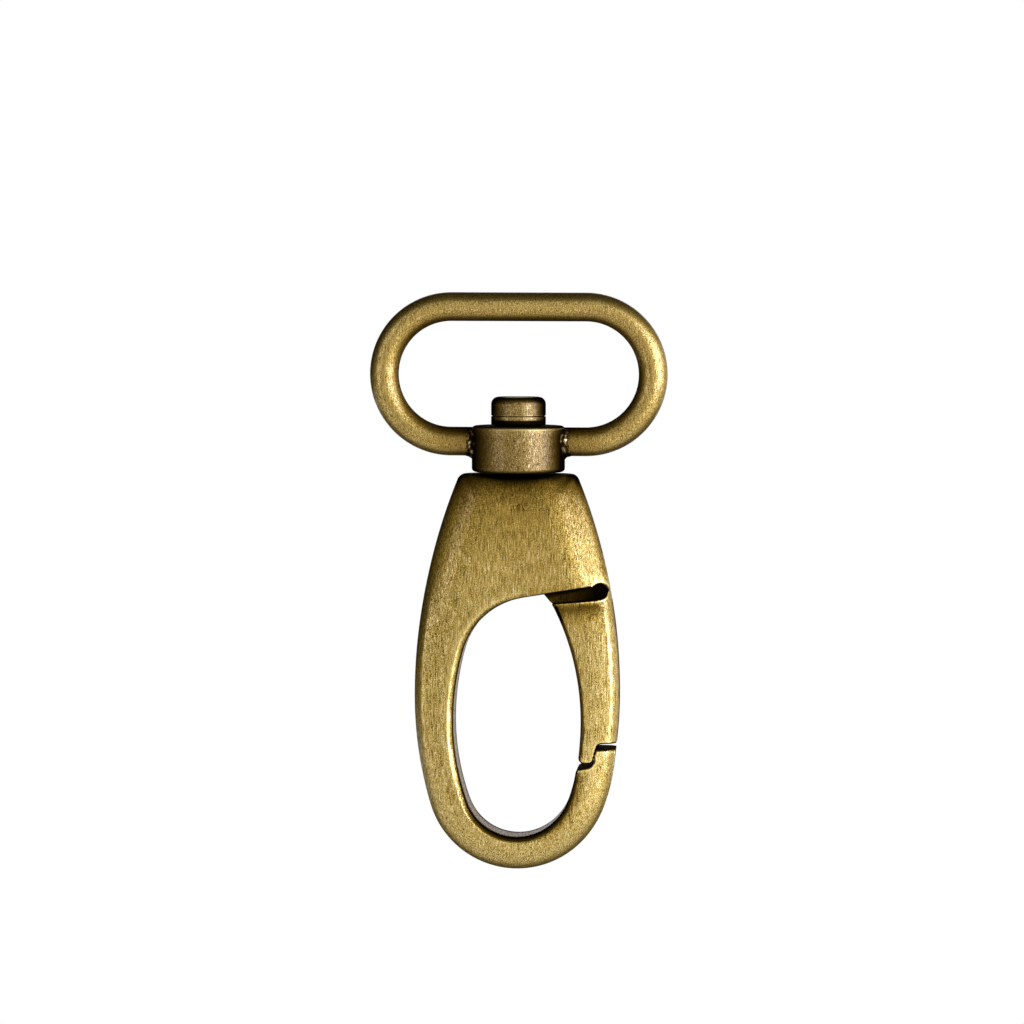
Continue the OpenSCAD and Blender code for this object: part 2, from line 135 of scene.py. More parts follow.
# Gate pivot, its slot and its spring
PIVOT = np.array([4.8, BODY_TOP - 10])
TONGUE_T = 3.1
RIM_TONGUE_T = 1.05
TONGUE_R = 3.5
TONGUE_TOP = 1.5
TONGUE_LIP_X = 2.7
TONGUE_INSET = 0.04
TONGUE_ROOM = 0.04
NECK_T = 2.4
NECK_OUT = 0.16
SLOT_T = 3.2
RIM_SLOT_T = 1.15
RIM_SKIN = 1.4
RIM_ROOM = 0.3
SLOT_R = 4.0
PIN_R = 0.9
PIN_SKIN = 0.5
PIN_SINK = 0.1
PIN_CLEAR = 0.05
COIL_R = 1.5
COIL_RISE = 1.5
COIL_TURNS = 3
SPRING_R = 0.2
GATE_LEG_L = 5.6
LEG_SEAT_L = 0.9
FORK_T = 2.2
FORK_R = 1.85
LEG_HOLE_R = 0.35
LEG_ROOM = 0.15
LEG_X = PIVOT[0] + COIL_R
LEG_ROOF = math.sqrt(SLOT_R**2 - COIL_R**2)
SLOT_RIM_TONE = 0.42
# Tone of the tongue where it shows in the gap: painted shade
TONGUE_TONE = 0.16

# Braze: a fillet's size, its lumps as height and pattern scale, and how deep it is sunk
FILLET_H = 0.5
FILLET_L = 0.85
LUMPS = ((0.16, 1.9), (0.1, 4.3))
BRAZE_SINK = 0.06
BRAZE_IN = 0.2

# Distance between drawn points
STEP = 0.15
CORNER_STEP = 0.08
DETAIL_STEP = 0.07
NOTCH_STEP = 0.05
INSIDE_STEP = 0.2


# Flat drawing


def arc(centre, radius, start, stop, step=STEP):
    """Points along an arc between two angles in degrees, about one step apart."""
    count = max(3, math.ceil(math.radians(abs(stop - start)) * radius / step))
    turn = np.radians(np.linspace(start, stop, count + 1))
    return np.column_stack([centre[0] + radius * np.cos(turn), centre[1] + radius * np.sin(turn)])


def line(start, stop, step=STEP):
    """Points along a straight line, about one step apart."""
    start, stop = np.array(start, float), np.array(stop, float)
    count = max(1, math.ceil(np.linalg.norm(stop - start) / step))
    return start + np.linspace(0, 1, count + 1)[:, None] * (stop - start)


def rounded(corners, step=DETAIL_STEP):
    """Points along a path of corners (x, z, radius), each corner rounded off to its radius."""
    path = [np.array(corners[0][:2], float)]
    for before, here, after in zip(corners, corners[1:], corners[2:]):
        tip = np.array(here[:2], float)
        back, ahead = (np.array(end[:2]) - tip for end in (before, after))
        back /= np.linalg.norm(back)
        ahead /= np.linalg.norm(ahead)
        half = math.acos(float(np.clip(back @ ahead, -1, 1))) / 2
        middle = (back + ahead) / np.linalg.norm(back + ahead)
        centre = tip + middle * here[2] / math.sin(half)
        first = tip + back * here[2] / math.tan(half) - centre
        last = tip + ahead * here[2] / math.tan(half) - centre
        start = math.degrees(math.atan2(first[1], first[0]))
        sweep = math.degrees(math.atan2(first[0] * last[1] - first[1] * last[0], first @ last))
        path.extend(line(path[-1], centre + first, step)[1:])
        path.extend(arc(centre, here[2], start, start + sweep, step)[1:])
    path.extend(line(path[-1], corners[-1][:2], step)[1:])
    return np.array(path)


def low_arc(half, drop, radius):
    """Radius of a flank that starts upright at a half width and runs into a round bottom."""
    return (half**2 + drop**2 - radius**2) / (2 * (half - radius))


def at_height(centre_z, radius, z):
    """Angle in degrees of the point of a circle's right side at a height."""
    return math.degrees(math.asin((z - centre_z) / radius))


BOTTOM_Z = BODY_BOTTOM + BOTTOM_R
LOW_R = low_arc(HALF_W, WIDEST_Z - BOTTOM_Z, BOTTOM_R)
LOW_X = LOW_R - HALF_W
LOW_TURN = math.degrees(math.atan2(WIDEST_Z - BOTTOM_Z, LOW_X))
CORNER_Z = BODY_TOP - CORNER_R
CORNER_X = math.sqrt((FLANK_R - CORNER_R) ** 2 - (CORNER_Z - WIDEST_Z) ** 2) - FLANK_X
TOP_TURN = math.degrees(math.atan2(CORNER_Z - WIDEST_Z, CORNER_X + FLANK_X))

EYE_X = EYE_FLANK_R - EYE_HALF
EYE_BOTTOM_Z = BODY_BOTTOM + WEB_H + EYE_BOTTOM_R
EYE_LOW_R = low_arc(EYE_HALF, EYE_Z - EYE_BOTTOM_Z, EYE_BOTTOM_R)
EYE_LOW_X = EYE_LOW_R - EYE_HALF
EYE_TURN = math.degrees(math.atan2(EYE_Z - EYE_BOTTOM_Z, EYE_LOW_X))

LIP_DIR = np.array([math.cos(math.radians(LIP_SLOPE)), math.sin(math.radians(LIP_SLOPE))])
LIP_NORMAL = np.array([-LIP_DIR[1], LIP_DIR[0]])


def crown_centre():
    """Centre of the eye's round crown, which touches the lip and the left flank."""
    base = np.array([-EYE_X, LIP_Z - EYE_Z]) - CROWN_R * LIP_NORMAL
    along = base @ LIP_DIR
    room = base @ base - (EYE_FLANK_R - CROWN_R) ** 2
    return base - (along + math.sqrt(along**2 - room)) * LIP_DIR + np.array([EYE_X, EYE_Z])


CROWN = crown_centre()
CROWN_TURN = math.degrees(math.atan2(CROWN[1] - EYE_Z, CROWN[0] - EYE_X))


def outline_x(z):
    """Half width of the hook's upper outline at a height."""
    return math.sqrt(FLANK_R**2 - (z - WIDEST_Z) ** 2) - FLANK_X


def low_outline_x(z):
    """Half width of the hook's lower outline at a height."""
    return math.sqrt(LOW_R**2 - (z - WIDEST_Z) ** 2) - LOW_X


def eye_low_x(z):
    """Half width of the eye's lower part at a height."""
    return math.sqrt(EYE_LOW_R**2 - (z - EYE_Z) ** 2) - EYE_LOW_X


def gate_inner_x(z):
    """Place across of the gate's inner side at a height."""
    return math.sqrt(GATE_INNER_R**2 - (z - EYE_Z) ** 2) - GATE_INNER_R + GATE_HALF


def lip_at(x):
    """Height of the lip above the eye at a place across."""
    return LIP_Z + x * math.tan(math.radians(LIP_SLOPE))


NOTCH_X = outline_x(lip_at(HALF_W)) - NOTCH_INSET
NOTCH = np.array([NOTCH_X, lip_at(NOTCH_X) - NOTCH_R / LIP_DIR[0]])
SEAM_Z = NOTCH[1] + NOTCH_R / 2


def shoulder_at(x):
    """Height of the gate's shoulder at a place across."""
    lowest = NOTCH[1] - NOTCH_R / math.cos(math.radians(SHOULDER_SLOPE))
    return lowest + (x - NOTCH_X) * math.tan(math.radians(SHOULDER_SLOPE))


# The gap ends in a round hole a little wider than itself, which cuts into the lip at this angle
NOTCH_END_UP = NOTCH_END_R / math.cos(math.radians(SHOULDER_SLOPE))
NOTCH_END = np.array([NOTCH_X, shoulder_at(NOTCH_X) + NOTCH_END_UP])
LIP_OVER = (NOTCH - NOTCH_END) @ LIP_NORMAL + NOTCH_R
NOTCH_LIP_TURN = 90 + LIP_SLOPE + math.degrees(math.acos(LIP_OVER / NOTCH_END_R))


def outer_stretches(start_z, stop_z):
    """Right-hand outline from one height down to another."""
    stretches = []
    if start_z > WIDEST_Z:
        first = at_height(WIDEST_Z, FLANK_R, start_z)
        last = at_height(WIDEST_Z, FLANK_R, max(stop_z, WIDEST_Z))
        stretches.append((arc((-FLANK_X, WIDEST_Z), FLANK_R, first, last), "rim"))
    if stop_z < WIDEST_Z:
        first = at_height(WIDEST_Z, LOW_R, min(start_z, WIDEST_Z))
        last = max(at_height(WIDEST_Z, LOW_R, stop_z), -LOW_TURN)
        stretches.append((arc((-LOW_X, WIDEST_Z), LOW_R, first, last), "rim"))
    return stretches


def left_stretches():
    """Outline from the lower right flank's end round the bottom and up the left side to the top corner."""
    return [
        (arc((0, BOTTOM_Z), BOTTOM_R, -LOW_TURN, LOW_TURN - 180), "rim"),
        (arc((LOW_X, WIDEST_Z), LOW_R, 180 + LOW_TURN, 180), "rim"),
        (arc((FLANK_X, WIDEST_Z), FLANK_R, 180, 180 - TOP_TURN), "rim"),
        (arc((-CORNER_X, CORNER_Z), CORNER_R, 180 - TOP_TURN, 90, CORNER_STEP), "top"),
    ]


def near(distance, width):
    """Soft share, 1 at no distance and fading over a width."""
    return np.exp(-((distance / width) ** 2))


def swell(stretches):
    """Moves the lower right arm out a little, where the casting is fuller than on the left."""
    moved = []
    for points, kind in stretches:
        x, z = points[:, 0], points[:, 1]
        out = SWELL * np.clip(x / FULL_RIGHT, 0, 1) * near(z - SWELL_Z, SWELL_REACH)
        moved.append((np.column_stack([x + out, z]), kind))
    return moved


def hook_contour():
    """Closed outline of the hook, clockwise from the top edge, in stretches with their kind of edge."""
    flank_foot = SEAT_Z - 0.7
    foot_turn = at_height(EYE_Z, EYE_LOW_R, flank_foot)
    eye_right = arc((-EYE_LOW_X, EYE_Z), EYE_LOW_R, -EYE_TURN, foot_turn)
    riser_foot = (NOSE_X - 0.14, SEAT_Z + 1.1)
    riser_head = (NOSE_X - 0.03, NOSE_Z - 0.4)
    seat = rounded([
        (*eye_right[-1], 0),
        (eye_low_x(SEAT_Z), SEAT_Z - 0.25, 0.6),
        (NOSE_X - 0.15, SEAT_Z, 0.95),
        (*riser_foot, 0),
    ])
    nose = rounded([(*riser_head, 0), (NOSE_X, NOSE_Z, 0.25), (low_outline_x(NOSE_Z), NOSE_Z, 0)])
    lip_end = CROWN + CROWN_R * LIP_NORMAL
    seam_turn = at_height(NOTCH_END[1], NOTCH_END_R, SEAM_Z)
    notch = arc(NOTCH_END, NOTCH_END_R, seam_turn, NOTCH_LIP_TURN, NOTCH_STEP)
    return swell([
        (line((-CORNER_X, BODY_TOP), (CORNER_X, BODY_TOP)), "top"),
        (arc((CORNER_X, CORNER_Z), CORNER_R, 90, TOP_TURN, CORNER_STEP), "top"),
        (arc((-FLANK_X, WIDEST_Z), FLANK_R, TOP_TURN, at_height(WIDEST_Z, FLANK_R, SEAM_Z)), "rim"),
        (line((outline_x(SEAM_Z), SEAM_Z), notch[0], DETAIL_STEP), "seam"),
        (notch, "notch"),
        (line(notch[-1], lip_end), "lip"),
        (arc(CROWN, CROWN_R, 90 + LIP_SLOPE, CROWN_TURN), "eye"),
        (arc((EYE_X, EYE_Z), EYE_FLANK_R, CROWN_TURN, 180), "eye"),
        (arc((EYE_LOW_X, EYE_Z), EYE_LOW_R, 180, 180 + EYE_TURN), "eye"),
        (arc((0, EYE_BOTTOM_Z), EYE_BOTTOM_R, 180 + EYE_TURN, 360 - EYE_TURN), "eye"),
        (eye_right, "eye"),
        (seat, "nose"),
        (line(riser_foot, riser_head, DETAIL_STEP), "riser"),
        (nose, "nose"),
        *outer_stretches(NOSE_Z, BODY_BOTTOM),
        *left_stretches(),
    ])


def blank_contour():
    """Closed outline of the whole hook with no eye, for what has to end flush with its rim."""
    top_z = WIDEST_Z + FLANK_R * math.sin(math.radians(TOP_TURN))
    return swell([
        (line((-CORNER_X, BODY_TOP), (CORNER_X, BODY_TOP)), "top"),
        (arc((CORNER_X, CORNER_Z), CORNER_R, 90, TOP_TURN, CORNER_STEP), "top"),
        *outer_stretches(top_z, BODY_BOTTOM),
        *left_stretches(),
    ])


def gate_contour():
    """Closed outline of the gate's full thickness, clockwise from the inner end of its shoulder."""
    inner_z = shoulder_at(EYE_HALF)
    for _ in range(8):
        inner_x = gate_inner_x(inner_z)
        inner_z = shoulder_at(inner_x)
    seam_z = SEAM_Z - SEAM
    seam_turn = at_height(NOTCH_END[1], NOTCH_END_R, seam_z)
    notch = arc(NOTCH_END, NOTCH_END_R, SHOULDER_SLOPE - 90, seam_turn, NOTCH_STEP)
    foot_z = TIP_Z + 0.6
    widened = GATE_HALF - EYE_HALF
    tip = rounded([
        (low_outline_x(STEP_Z), STEP_Z, 0),
        (TIP_X + TIP_LEAN, STEP_Z - 0.06, 0.5),
        (TIP_X, TIP_Z, 0.5),
        (eye_low_x(TIP_Z) + widened, TIP_Z, 0.6),
        (eye_low_x(foot_z) + widened, foot_z, 0),
    ])
    foot_turn = at_height(EYE_Z, EYE_LOW_R, foot_z)
    low_z = inner_z - 0.35
    inner_turn = at_height(EYE_Z, GATE_INNER_R, low_z)
    inner = arc((GATE_HALF - GATE_INNER_R, EYE_Z), GATE_INNER_R, 0, inner_turn)
    corner = rounded([(*inner[-1], 0), (inner_x, inner_z, 0.12), (*notch[0], 0)])
    return swell([
        (corner, "shoulder"),
        (notch, "notch"),
        (line(notch[-1], (outline_x(seam_z), seam_z), DETAIL_STEP), "seam"),
        *outer_stretches(seam_z, STEP_Z),
        (tip, "tip"),
        (arc((widened - EYE_LOW_X, EYE_Z), EYE_LOW_R, foot_turn, 0), "inner"),
        (inner, "inner"),
    ])


# Cast relief: a face whose edges roll over by kind, and a low crown between them

# Width of each kind of edge on the face; the eye's grows from the lip's over a run
EDGES = {
    "rim": 0.86, "top": 0.5, "eye": 0.58, "inner": 0.45, "lip": 0.15, "shoulder": 0.12, "notch": 0.12,
    "nose": 0.2, "riser": 0.07, "tip": 0.16, "seam": 0.05}
EYE_EDGE_RUN = 4.0
# Slope in degrees across an edge by share of its width: round, then a flat facet, then a soft crease
EDGE_SHARES = np.array([0, 0.04, 0.09, 0.15, 0.3, 0.42, 0.54, 0.66, 0.78, 0.91, 1.0])
EDGE_SLOPES = np.array([78, 68, 58, 52, 50, 47, 42, 36, 31, 24, 10])
# Tone of the wall below an edge, dark as painted shade on the sides; walls of other kinds, in the gaps,
# are black as painted shadow
WALL_TONE = {"rim": 0.12, "seam": 0.12, "top": 0.12, "eye": 0.36, "inner": 0.2}
# How far in from the outline the dark in an edge reaches, how dark it is, and how it fades: patina and
# painted shade at the eye's and the gate's inner edges, and painted shade at the gate's tip
DARK_IN = {"eye": (0.15, 0.5), "inner": (0.44, 0.3), "tip": (0.2, 0.5)}
DARK_FADE = 0.1
# Painted shade, with some patina, on the upward-facing edge at the foot of the eye: how far in it reaches,
# further in on the right, how dark it is and how it fades, and where the foot begins
FOOT_DARK_IN = (0.58, 1.3)
FOOT_DARK = 0.48
FOOT_DARK_FADE = (1.2, 0.45)
FOOT_TOP = EYE_Z - 4.5
FOOT_RISE = 3.0
FOOT_FADE = 6.0
# Patina and painted shade on the face, as how dark it is and how far it reaches, and where it keeps clear
# Painted shadow under the collar, with some patina, darkest at the top edge, and how it eases near the rim
# at the corners
TOP_DARK = ((0.3, 0.9), (0.42, 4.5))
CORNER_SHADE_EASE = (0.4, 3.0)
# Painted shade along the soft rim: a line at the outline and a band further in, darker on the right, where
# it dims the lamp's highlight
RIM_LINE = (0.09, 0.35)
RIM_BAND = (0.07, 0.05, 1.2)
NOTCH_CLEAR = (0.4, 1.2)
# Painted shade on the face just above the lip, by the gap
LIP_DARK = (0.2, 0.5)
# Patina and painted shade on the gate just below the gap, kept clear of the rim
SHOULDER_DARK = (0.42, 1.7)
SHOULDER_CLEAR = (0.6, 1.1)
# How much paler the face gets from the lip down to the bottom
LOW_PALER = 0.06
# How much paler the crease of a facet is painted, as a painted highlight, at which share of its edge, and
# how wide
CREASE_HIGHLIGHT = {"rim": 0.1, "eye": 0.18}
CREASE_AT = 0.93
CREASE_W = 0.15
# How much paler the face is just inside an edge by the gap, as a painted highlight line, where the edge
# itself is painted dark as shade
EDGE_HIGHLIGHT = {"shoulder": 0.4, "notch": 0.4, "nose": 0.3, "tip": 0.2, "lip": 0.1}
EDGE_HIGHLIGHT_IN = 0.05
EDGE_HIGHLIGHT_W = 0.08
# Width and fall of the softer rim above and below the straight arms, and the heights between which it
# changes to the facet
TOP_RIM = (4.0, 1.5)
LOW_RIM = (2.4, 1.2)
TOP_CHANGE = ((-26.5, -37.5), (-28.5, -33.0))
LOW_CHANGE = (-53.0, -44.0)
# Low crown of the face: its radius and how far in it reaches
CROWN_SLOPE_R = 15.0
CROWN_REACH_TOP = 5.0
CROWN_REACH_ARM = 4.0
TOP_CROWN_R = 36.0
TOP_CROWN_REACH = 5.0
# Spacing of the mesh's points inside, and the width up to which an edge is narrow
FILL = 0.42
NARROW = 0.3


def fall(distance, width):
    """How far a face lies back at a distance from an edge of a width."""
    slopes = np.tan(np.radians(EDGE_SLOPES))
    steps = np.diff(EDGE_SHARES) * (slopes[1:] + slopes[:-1]) / 2
    falls = np.append(np.cumsum(steps[::-1])[::-1], 0)
    return width * np.interp(distance / width, EDGE_SHARES, falls)


def ease(values, start, stop):
    """Share from 0 at a start to 1 at a stop, with soft ends."""
    share = np.clip((values - start) / (stop - start), 0, 1)
    return share**2 * (3 - 2 * share)


def tree_of(points):
    tree = kdtree.KDTree(len(points))
    for index, (x, z) in enumerate(points):
        tree.insert((x, z, 0), index)
    tree.balance()
    return tree


def distances(tree, points):
    return np.array([tree.find((x, z, 0))[2] for x, z in points])


def within(points, ring):
    """Which points lie inside a closed ring."""
    inside = np.zeros(len(points), bool)
    for (ax, az), (bx, bz) in zip(ring, np.roll(ring, -1, axis=0)):
        if az == bz:
            continue
        crosses = (points[:, 1] < az) != (points[:, 1] < bz)
        inside ^= crosses & (points[:, 0] < ax + (points[:, 1] - az) * (bx - ax) / (bz - az))
    return inside


OUTLINE = np.vstack([s for s, _ in blank_contour()[1:]])
TOP_EDGE = np.vstack([s for s, kind in hook_contour() + left_stretches() if kind == "top"])


def relief(points, contour):
    """Depth of each point of a cast face behind its flat middle, and its tone.

    A tone of 0 is dark, 0.5 is brass and 1 is pale; besides patina, it holds painted shade and painted
    highlights.
    """
    groups = {"rim": [OUTLINE], "top": [TOP_EDGE]}
    for stretch, kind in contour:
        if kind not in ("rim", "top"):
            groups.setdefault(kind, []).append(stretch)
    height = points[:, 1]
    on_left, on_right = (ease(height, *heights) for heights in TOP_CHANGE)
    change = np.where(points[:, 0] < 0, on_left, on_right)
    crisp = change * ease(height, *LOW_CHANGE)
    depth = np.zeros(len(points))
    tone = np.full(len(points), 0.5)
    far = {}
    for kind, stretches in groups.items():
        far[kind] = distances(tree_of(np.vstack(stretches)), points)
        width = EDGES[kind]
        if kind == "eye":
            width = EDGES["lip"] + (width - EDGES["lip"]) * ease(far["lip"], 0, EYE_EDGE_RUN)
        edge = fall(far[kind], width)
        if kind == "rim":
            soft_w, soft_drop = (np.where(height > WIDEST_Z, t, b) for t, b in zip(TOP_RIM, LOW_RIM))
            soft = soft_drop * (1 - np.sqrt(1 - np.clip(1 - far[kind] / soft_w, 0, 1) ** 2))
            edge = crisp * edge + (1 - crisp) * soft
        depth = np.maximum(depth, edge)
        # Patina and painted shade in an edge
        if kind in DARK_IN:
            reach, dark = DARK_IN[kind]
            tone -= dark * np.clip((reach - far[kind]) / DARK_FADE, 0, 1)
        # Painted shade in the edge itself, and a painted highlight line just inside it
        if kind in EDGE_HIGHLIGHT:
            tone -= 0.5 * np.clip(1 - far[kind] / width, 0, 1)
            tone += EDGE_HIGHLIGHT[kind] * near(far[kind] - width - EDGE_HIGHLIGHT_IN, EDGE_HIGHLIGHT_W)
    reach = CROWN_REACH_TOP + (CROWN_REACH_ARM - CROWN_REACH_TOP) * change
    side = np.clip(reach - far["rim"], 0, None) ** 2 / (2 * CROWN_SLOPE_R)
    over = np.clip(TOP_CROWN_REACH - far["top"], 0, None) ** 2 / (2 * TOP_CROWN_R)
    depth = depth + np.hypot(side, over)
    # Painted shadow under the collar, with some patina, eased near the rim at the corners
    top_dark = sum(dark * np.exp(-far["top"] / reach) for dark, reach in TOP_DARK)
    shade_ease, reach = CORNER_SHADE_EASE
    tone -= top_dark * (1 - shade_ease * near(far["rim"], reach))
    tone += LOW_PALER * ease(height, LIP_Z, BODY_BOTTOM)
    right = np.clip(points[:, 0] / FULL_RIGHT, 0, 1)
    foot = np.clip((FOOT_TOP - height + FOOT_RISE * right) / FOOT_FADE, 0, 1)
    # Painted highlight along the crease of a facet, on the crisp rim and on the eye but for its foot
    crease_shown = {"rim": crisp, "eye": 1 - foot}
    for kind, paler in CREASE_HIGHLIGHT.items():
        if kind in far:
            tone += paler * crease_shown[kind] * near(far[kind] - CREASE_AT * EDGES[kind], CREASE_W)
    # Painted shade along the soft rim, darker on the right, kept clear of the notch
    dark, reach = RIM_LINE
    soft_dark = dark * near(far["rim"], reach)
    dark, darker, reach = RIM_BAND
    soft_dark += (dark + darker * right) * near(far["rim"] - reach, reach)
    tone -= (1 - change) * soft_dark * ease(far.get("notch", math.inf), *NOTCH_CLEAR)
    # Painted shade, with some patina, on the upward-facing edge at the foot of the eye
    if "eye" in far:
        reach = FOOT_DARK_IN[0] + (FOOT_DARK_IN[1] - FOOT_DARK_IN[0]) * right
        fade = FOOT_DARK_FADE[0] * reach - FOOT_DARK_FADE[1]
        tone -= FOOT_DARK * foot * np.clip((reach - far["eye"]) / fade, 0, 1)
    # Painted shade just above the lip
    if "lip" in far:
        dark, reach = LIP_DARK
        tone -= dark * near(far["lip"], reach)
    # Patina and painted shade on the gate below the gap
    if "shoulder" in far:
        dark, reach = SHOULDER_DARK
        tone -= dark * near(far["shoulder"], reach) * ease(far["rim"], *SHOULDER_CLEAR)
    return depth, np.clip(tone, 0, 1)


def quads(first, second):
    """Faces between two closed rings of as many points."""
    return list(zip(first, first[1:] + first[:1], second[1:] + second[:1], second))


def cast_mesh(contour):
    """Closed mesh of a casting from its front outline: relief in front and behind, and a wall between."""
    ring, kinds = [], []
    for stretch, kind in contour:
        ring.extend(stretch[:-1])
        kinds.extend([kind] * (len(stretch) - 1))
    ring = np.array(ring)
    along = np.roll(ring, -1, axis=0) - np.roll(ring, 1, axis=0)
    along /= np.linalg.norm(along, axis=1)[:, None]
    inward = np.column_stack([along[:, 1], -along[:, 0]])
    rim_tree = tree_of(ring)
    points = [tuple(p) for p in ring]
    # Points in rows across each edge, but for those that lie nearer to another edge
    for index, kind in enumerate(kinds):
        width = EDGES[kind]
        shares = EDGE_SHARES[1:] if width > NARROW else EDGE_SHARES[1::3]
        gaps = [width * share for share in (*shares, 1.12)]
        # Extra rows for the painted highlight line just inside the edge
        if kind in EDGE_HIGHLIGHT:
            gaps += [width + EDGE_HIGHLIGHT_IN * step for step in (0.5, 1, 1.6, 2.4)]
        for gap in gaps:
            x, z = ring[index] + gap * inward[index]
            if rim_tree.find((x, z, 0))[2] > 0.985 * gap:
                points.append((x, z))
    low, high = ring.min(axis=0), ring.max(axis=0)
    rows = np.arange(low[1], high[1], FILL * math.sqrt(3) / 2)
    columns = np.arange(low[0], high[0], FILL)
    grid = np.array([(x + FILL / 2 * (i % 2), z) for i, z in enumerate(rows) for x in columns])
    grid = grid[within(grid, ring)]
    laid = tree_of(points)
    points.extend((x, z) for x, z in grid if laid.find((x, z, 0))[2] > 0.6 * FILL)

    count = len(ring)
    edges = [(i, (i + 1) % count) for i in range(count)]
    flat, _, faces, sources, _, _ = delaunay_2d_cdt([Vector(p) for p in points], edges, [], 1, 1e-6)
    number = {source: index for index, found in enumerate(sources) for source in found}
    border = [number[i] for i in range(count)]
    flat = np.array([tuple(p) for p in flat])
    depth, tone = relief(flat, contour)
    front = np.column_stack([flat[:, 0], depth - BODY_T / 2, flat[:, 1]])
    back = front * np.array([1, -1, 1])
    total = len(front)
    layers = [border]
    verts = [front, back]
    tones = [tone, tone]
    # Walls dark as painted shade, black in the gaps as painted shadow
    wall_tone = np.array([WALL_TONE.get(kind, 0.0) for kind in kinds])
    outer = np.isin(kinds, ("rim", "top"))
    wall_tone[outer] = np.minimum(wall_tone, tone[border])[outer]
    for share in (0.25, 0.5, 0.75):
        start = sum(len(v) for v in verts)
        layers.append(list(range(start, start + count)))
        verts.append(front[border] * (1 - share) + back[border] * share)
        tones.append(wall_tone)
    layers.append([total + i for i in border])
    polygons = [tuple(f) for f in faces] + [tuple(total + i for i in reversed(f)) for f in faces]
    for upper, lower in zip(layers, layers[1:]):
        polygons += quads(upper, lower)
    return solid_mesh(np.vstack(verts), polygons, np.concatenate(tones))


# Solid helpers, in millimetres


SHARP_ANGLE = 35


def new_object(name, data):
    """Object for a mesh, a lamp or the camera, linked to the scene."""
    obj = bpy.data.objects.new(name, data)
    bpy.context.scene.collection.objects.link(obj)
    return obj


def new_piece(name, mesh, angle=SHARP_ANGLE):
    """Object for a mesh, smooth but for edges sharper than an angle in degrees."""
    mesh.name = name
    mesh.validate()
    mesh.shade_smooth()
    mesh.set_sharp_from_angle(angle=math.radians(angle))
    return new_object(name, mesh)


def prism(points, front, back):
    """Mesh of a front view (x, z) carried from one depth to another."""
    count = len(points)
    verts = [(x, y, z) for y in (front, back) for x, z in points]
    first, second = list(range(count)), list(range(count, 2 * count))
    caps = [tuple(reversed(first)), tuple(second)]
    # Tone 0: walls cut with it are black, as painted shadow inside slots, holes and gaps
    return solid_mesh(verts, quads(first, second) + caps, 0.0)


def block(low, high, front, back):
    """Mesh of a block between two corners (x, z) of the front view and two depths."""
    return prism([low, (high[0], low[1]), high, (low[0], high[1])], front, back)


def solid_mesh(verts, polygons, tones):
    """Mesh of a closed solid, in metres, with its faces turned outwards and a tone for each point."""
    mesh = bpy.data.meshes.new("solid")
    mesh.from_pydata(np.array(verts) * MM, [], polygons)
    values = np.broadcast_to(np.array(tones, float), len(verts))
    mesh.attributes.new("tone", "FLOAT", "POINT").data.foreach_set("value", values)
    shape = bmesh.new()
    shape.from_mesh(mesh)
    bmesh.ops.recalc_face_normals(shape, faces=shape.faces)
    shape.to_mesh(mesh)
    shape.free()
    return mesh


def round_bar(radius, front, back, sides=64):
    """Mesh of a round bar along the gate's axis."""
    return prism(arc(PIVOT, radius, 0, 360, 2 * math.pi * radius / sides)[:-1], front, back)


def turned(section, sides=128, flank=0.0):
    """Mesh turned about the swivel axis from a closed half section of (radius, z, tone).

    The tone falls by the flank's share towards the left and right sides, as painted shade there.
    """
    turn = np.linspace(0, 2 * math.pi, sides, endpoint=False)
    verts, rings, tones = [], [], []
    for radius, z, tone in section:
        if radius < 1e-6:
            rings.append([len(verts)] * sides)
            verts.append((0, 0, z))
            tones.append(tone)
        else:
            rings.append(list(range(len(verts), len(verts) + sides)))
            verts.extend((radius * math.cos(t), radius * math.sin(t), z) for t in turn)
            tones.extend(max(0, tone - flank * math.cos(t) ** 4) for t in turn)
    polygons = []
    for first, second in zip(rings, rings[1:] + rings[:1]):
        corners = [tuple(dict.fromkeys(quad)) for quad in quads(first, second)]
        polygons += [c for c in corners if len(c) > 2]
    return solid_mesh(verts, polygons, tones)


def tube(path, radius, sides, tones=0.5, ends=None, hidden=0.0):
    """Mesh of round wire along a path; ends, if given, moves the rings at both ends onto a surface.

    The tone falls by hidden towards the left of the path, which is the inside of a loop.
    """
    path = np.array(path, float)
    ahead = np.gradient(path, axis=0)
    ahead /= np.linalg.norm(ahead, axis=1)[:, None]
    upright = np.array([0.0, 1.0, 0.0])
    turn = np.linspace(0, 2 * math.pi, sides, endpoint=False)
    verts = []
    for point, along in zip(path, ahead):
        side = np.cross(along, upright)
        side /= np.linalg.norm(side)
        other = np.cross(side, along)
        verts.append([point + radius * (math.cos(t) * side + math.sin(t) * other) for t in turn])
    if ends:
        verts[0] = [ends(p) for p in verts[0]]
        verts[-1] = [ends(p) for p in verts[-1]]
    rings = [list(range(start, start + sides)) for start in range(0, len(path) * sides, sides)]
    polygons = [tuple(rings[0]), tuple(rings[-1])]
    for first, second in zip(rings, rings[1:]):
        polygons += quads(first, second)
    tones = np.array(tones, float).reshape(-1, 1) - hidden * np.clip(np.cos(turn), 0, 1) ** 2
    return solid_mesh(np.vstack(verts), polygons, np.broadcast_to(tones, (len(path), sides)).ravel())


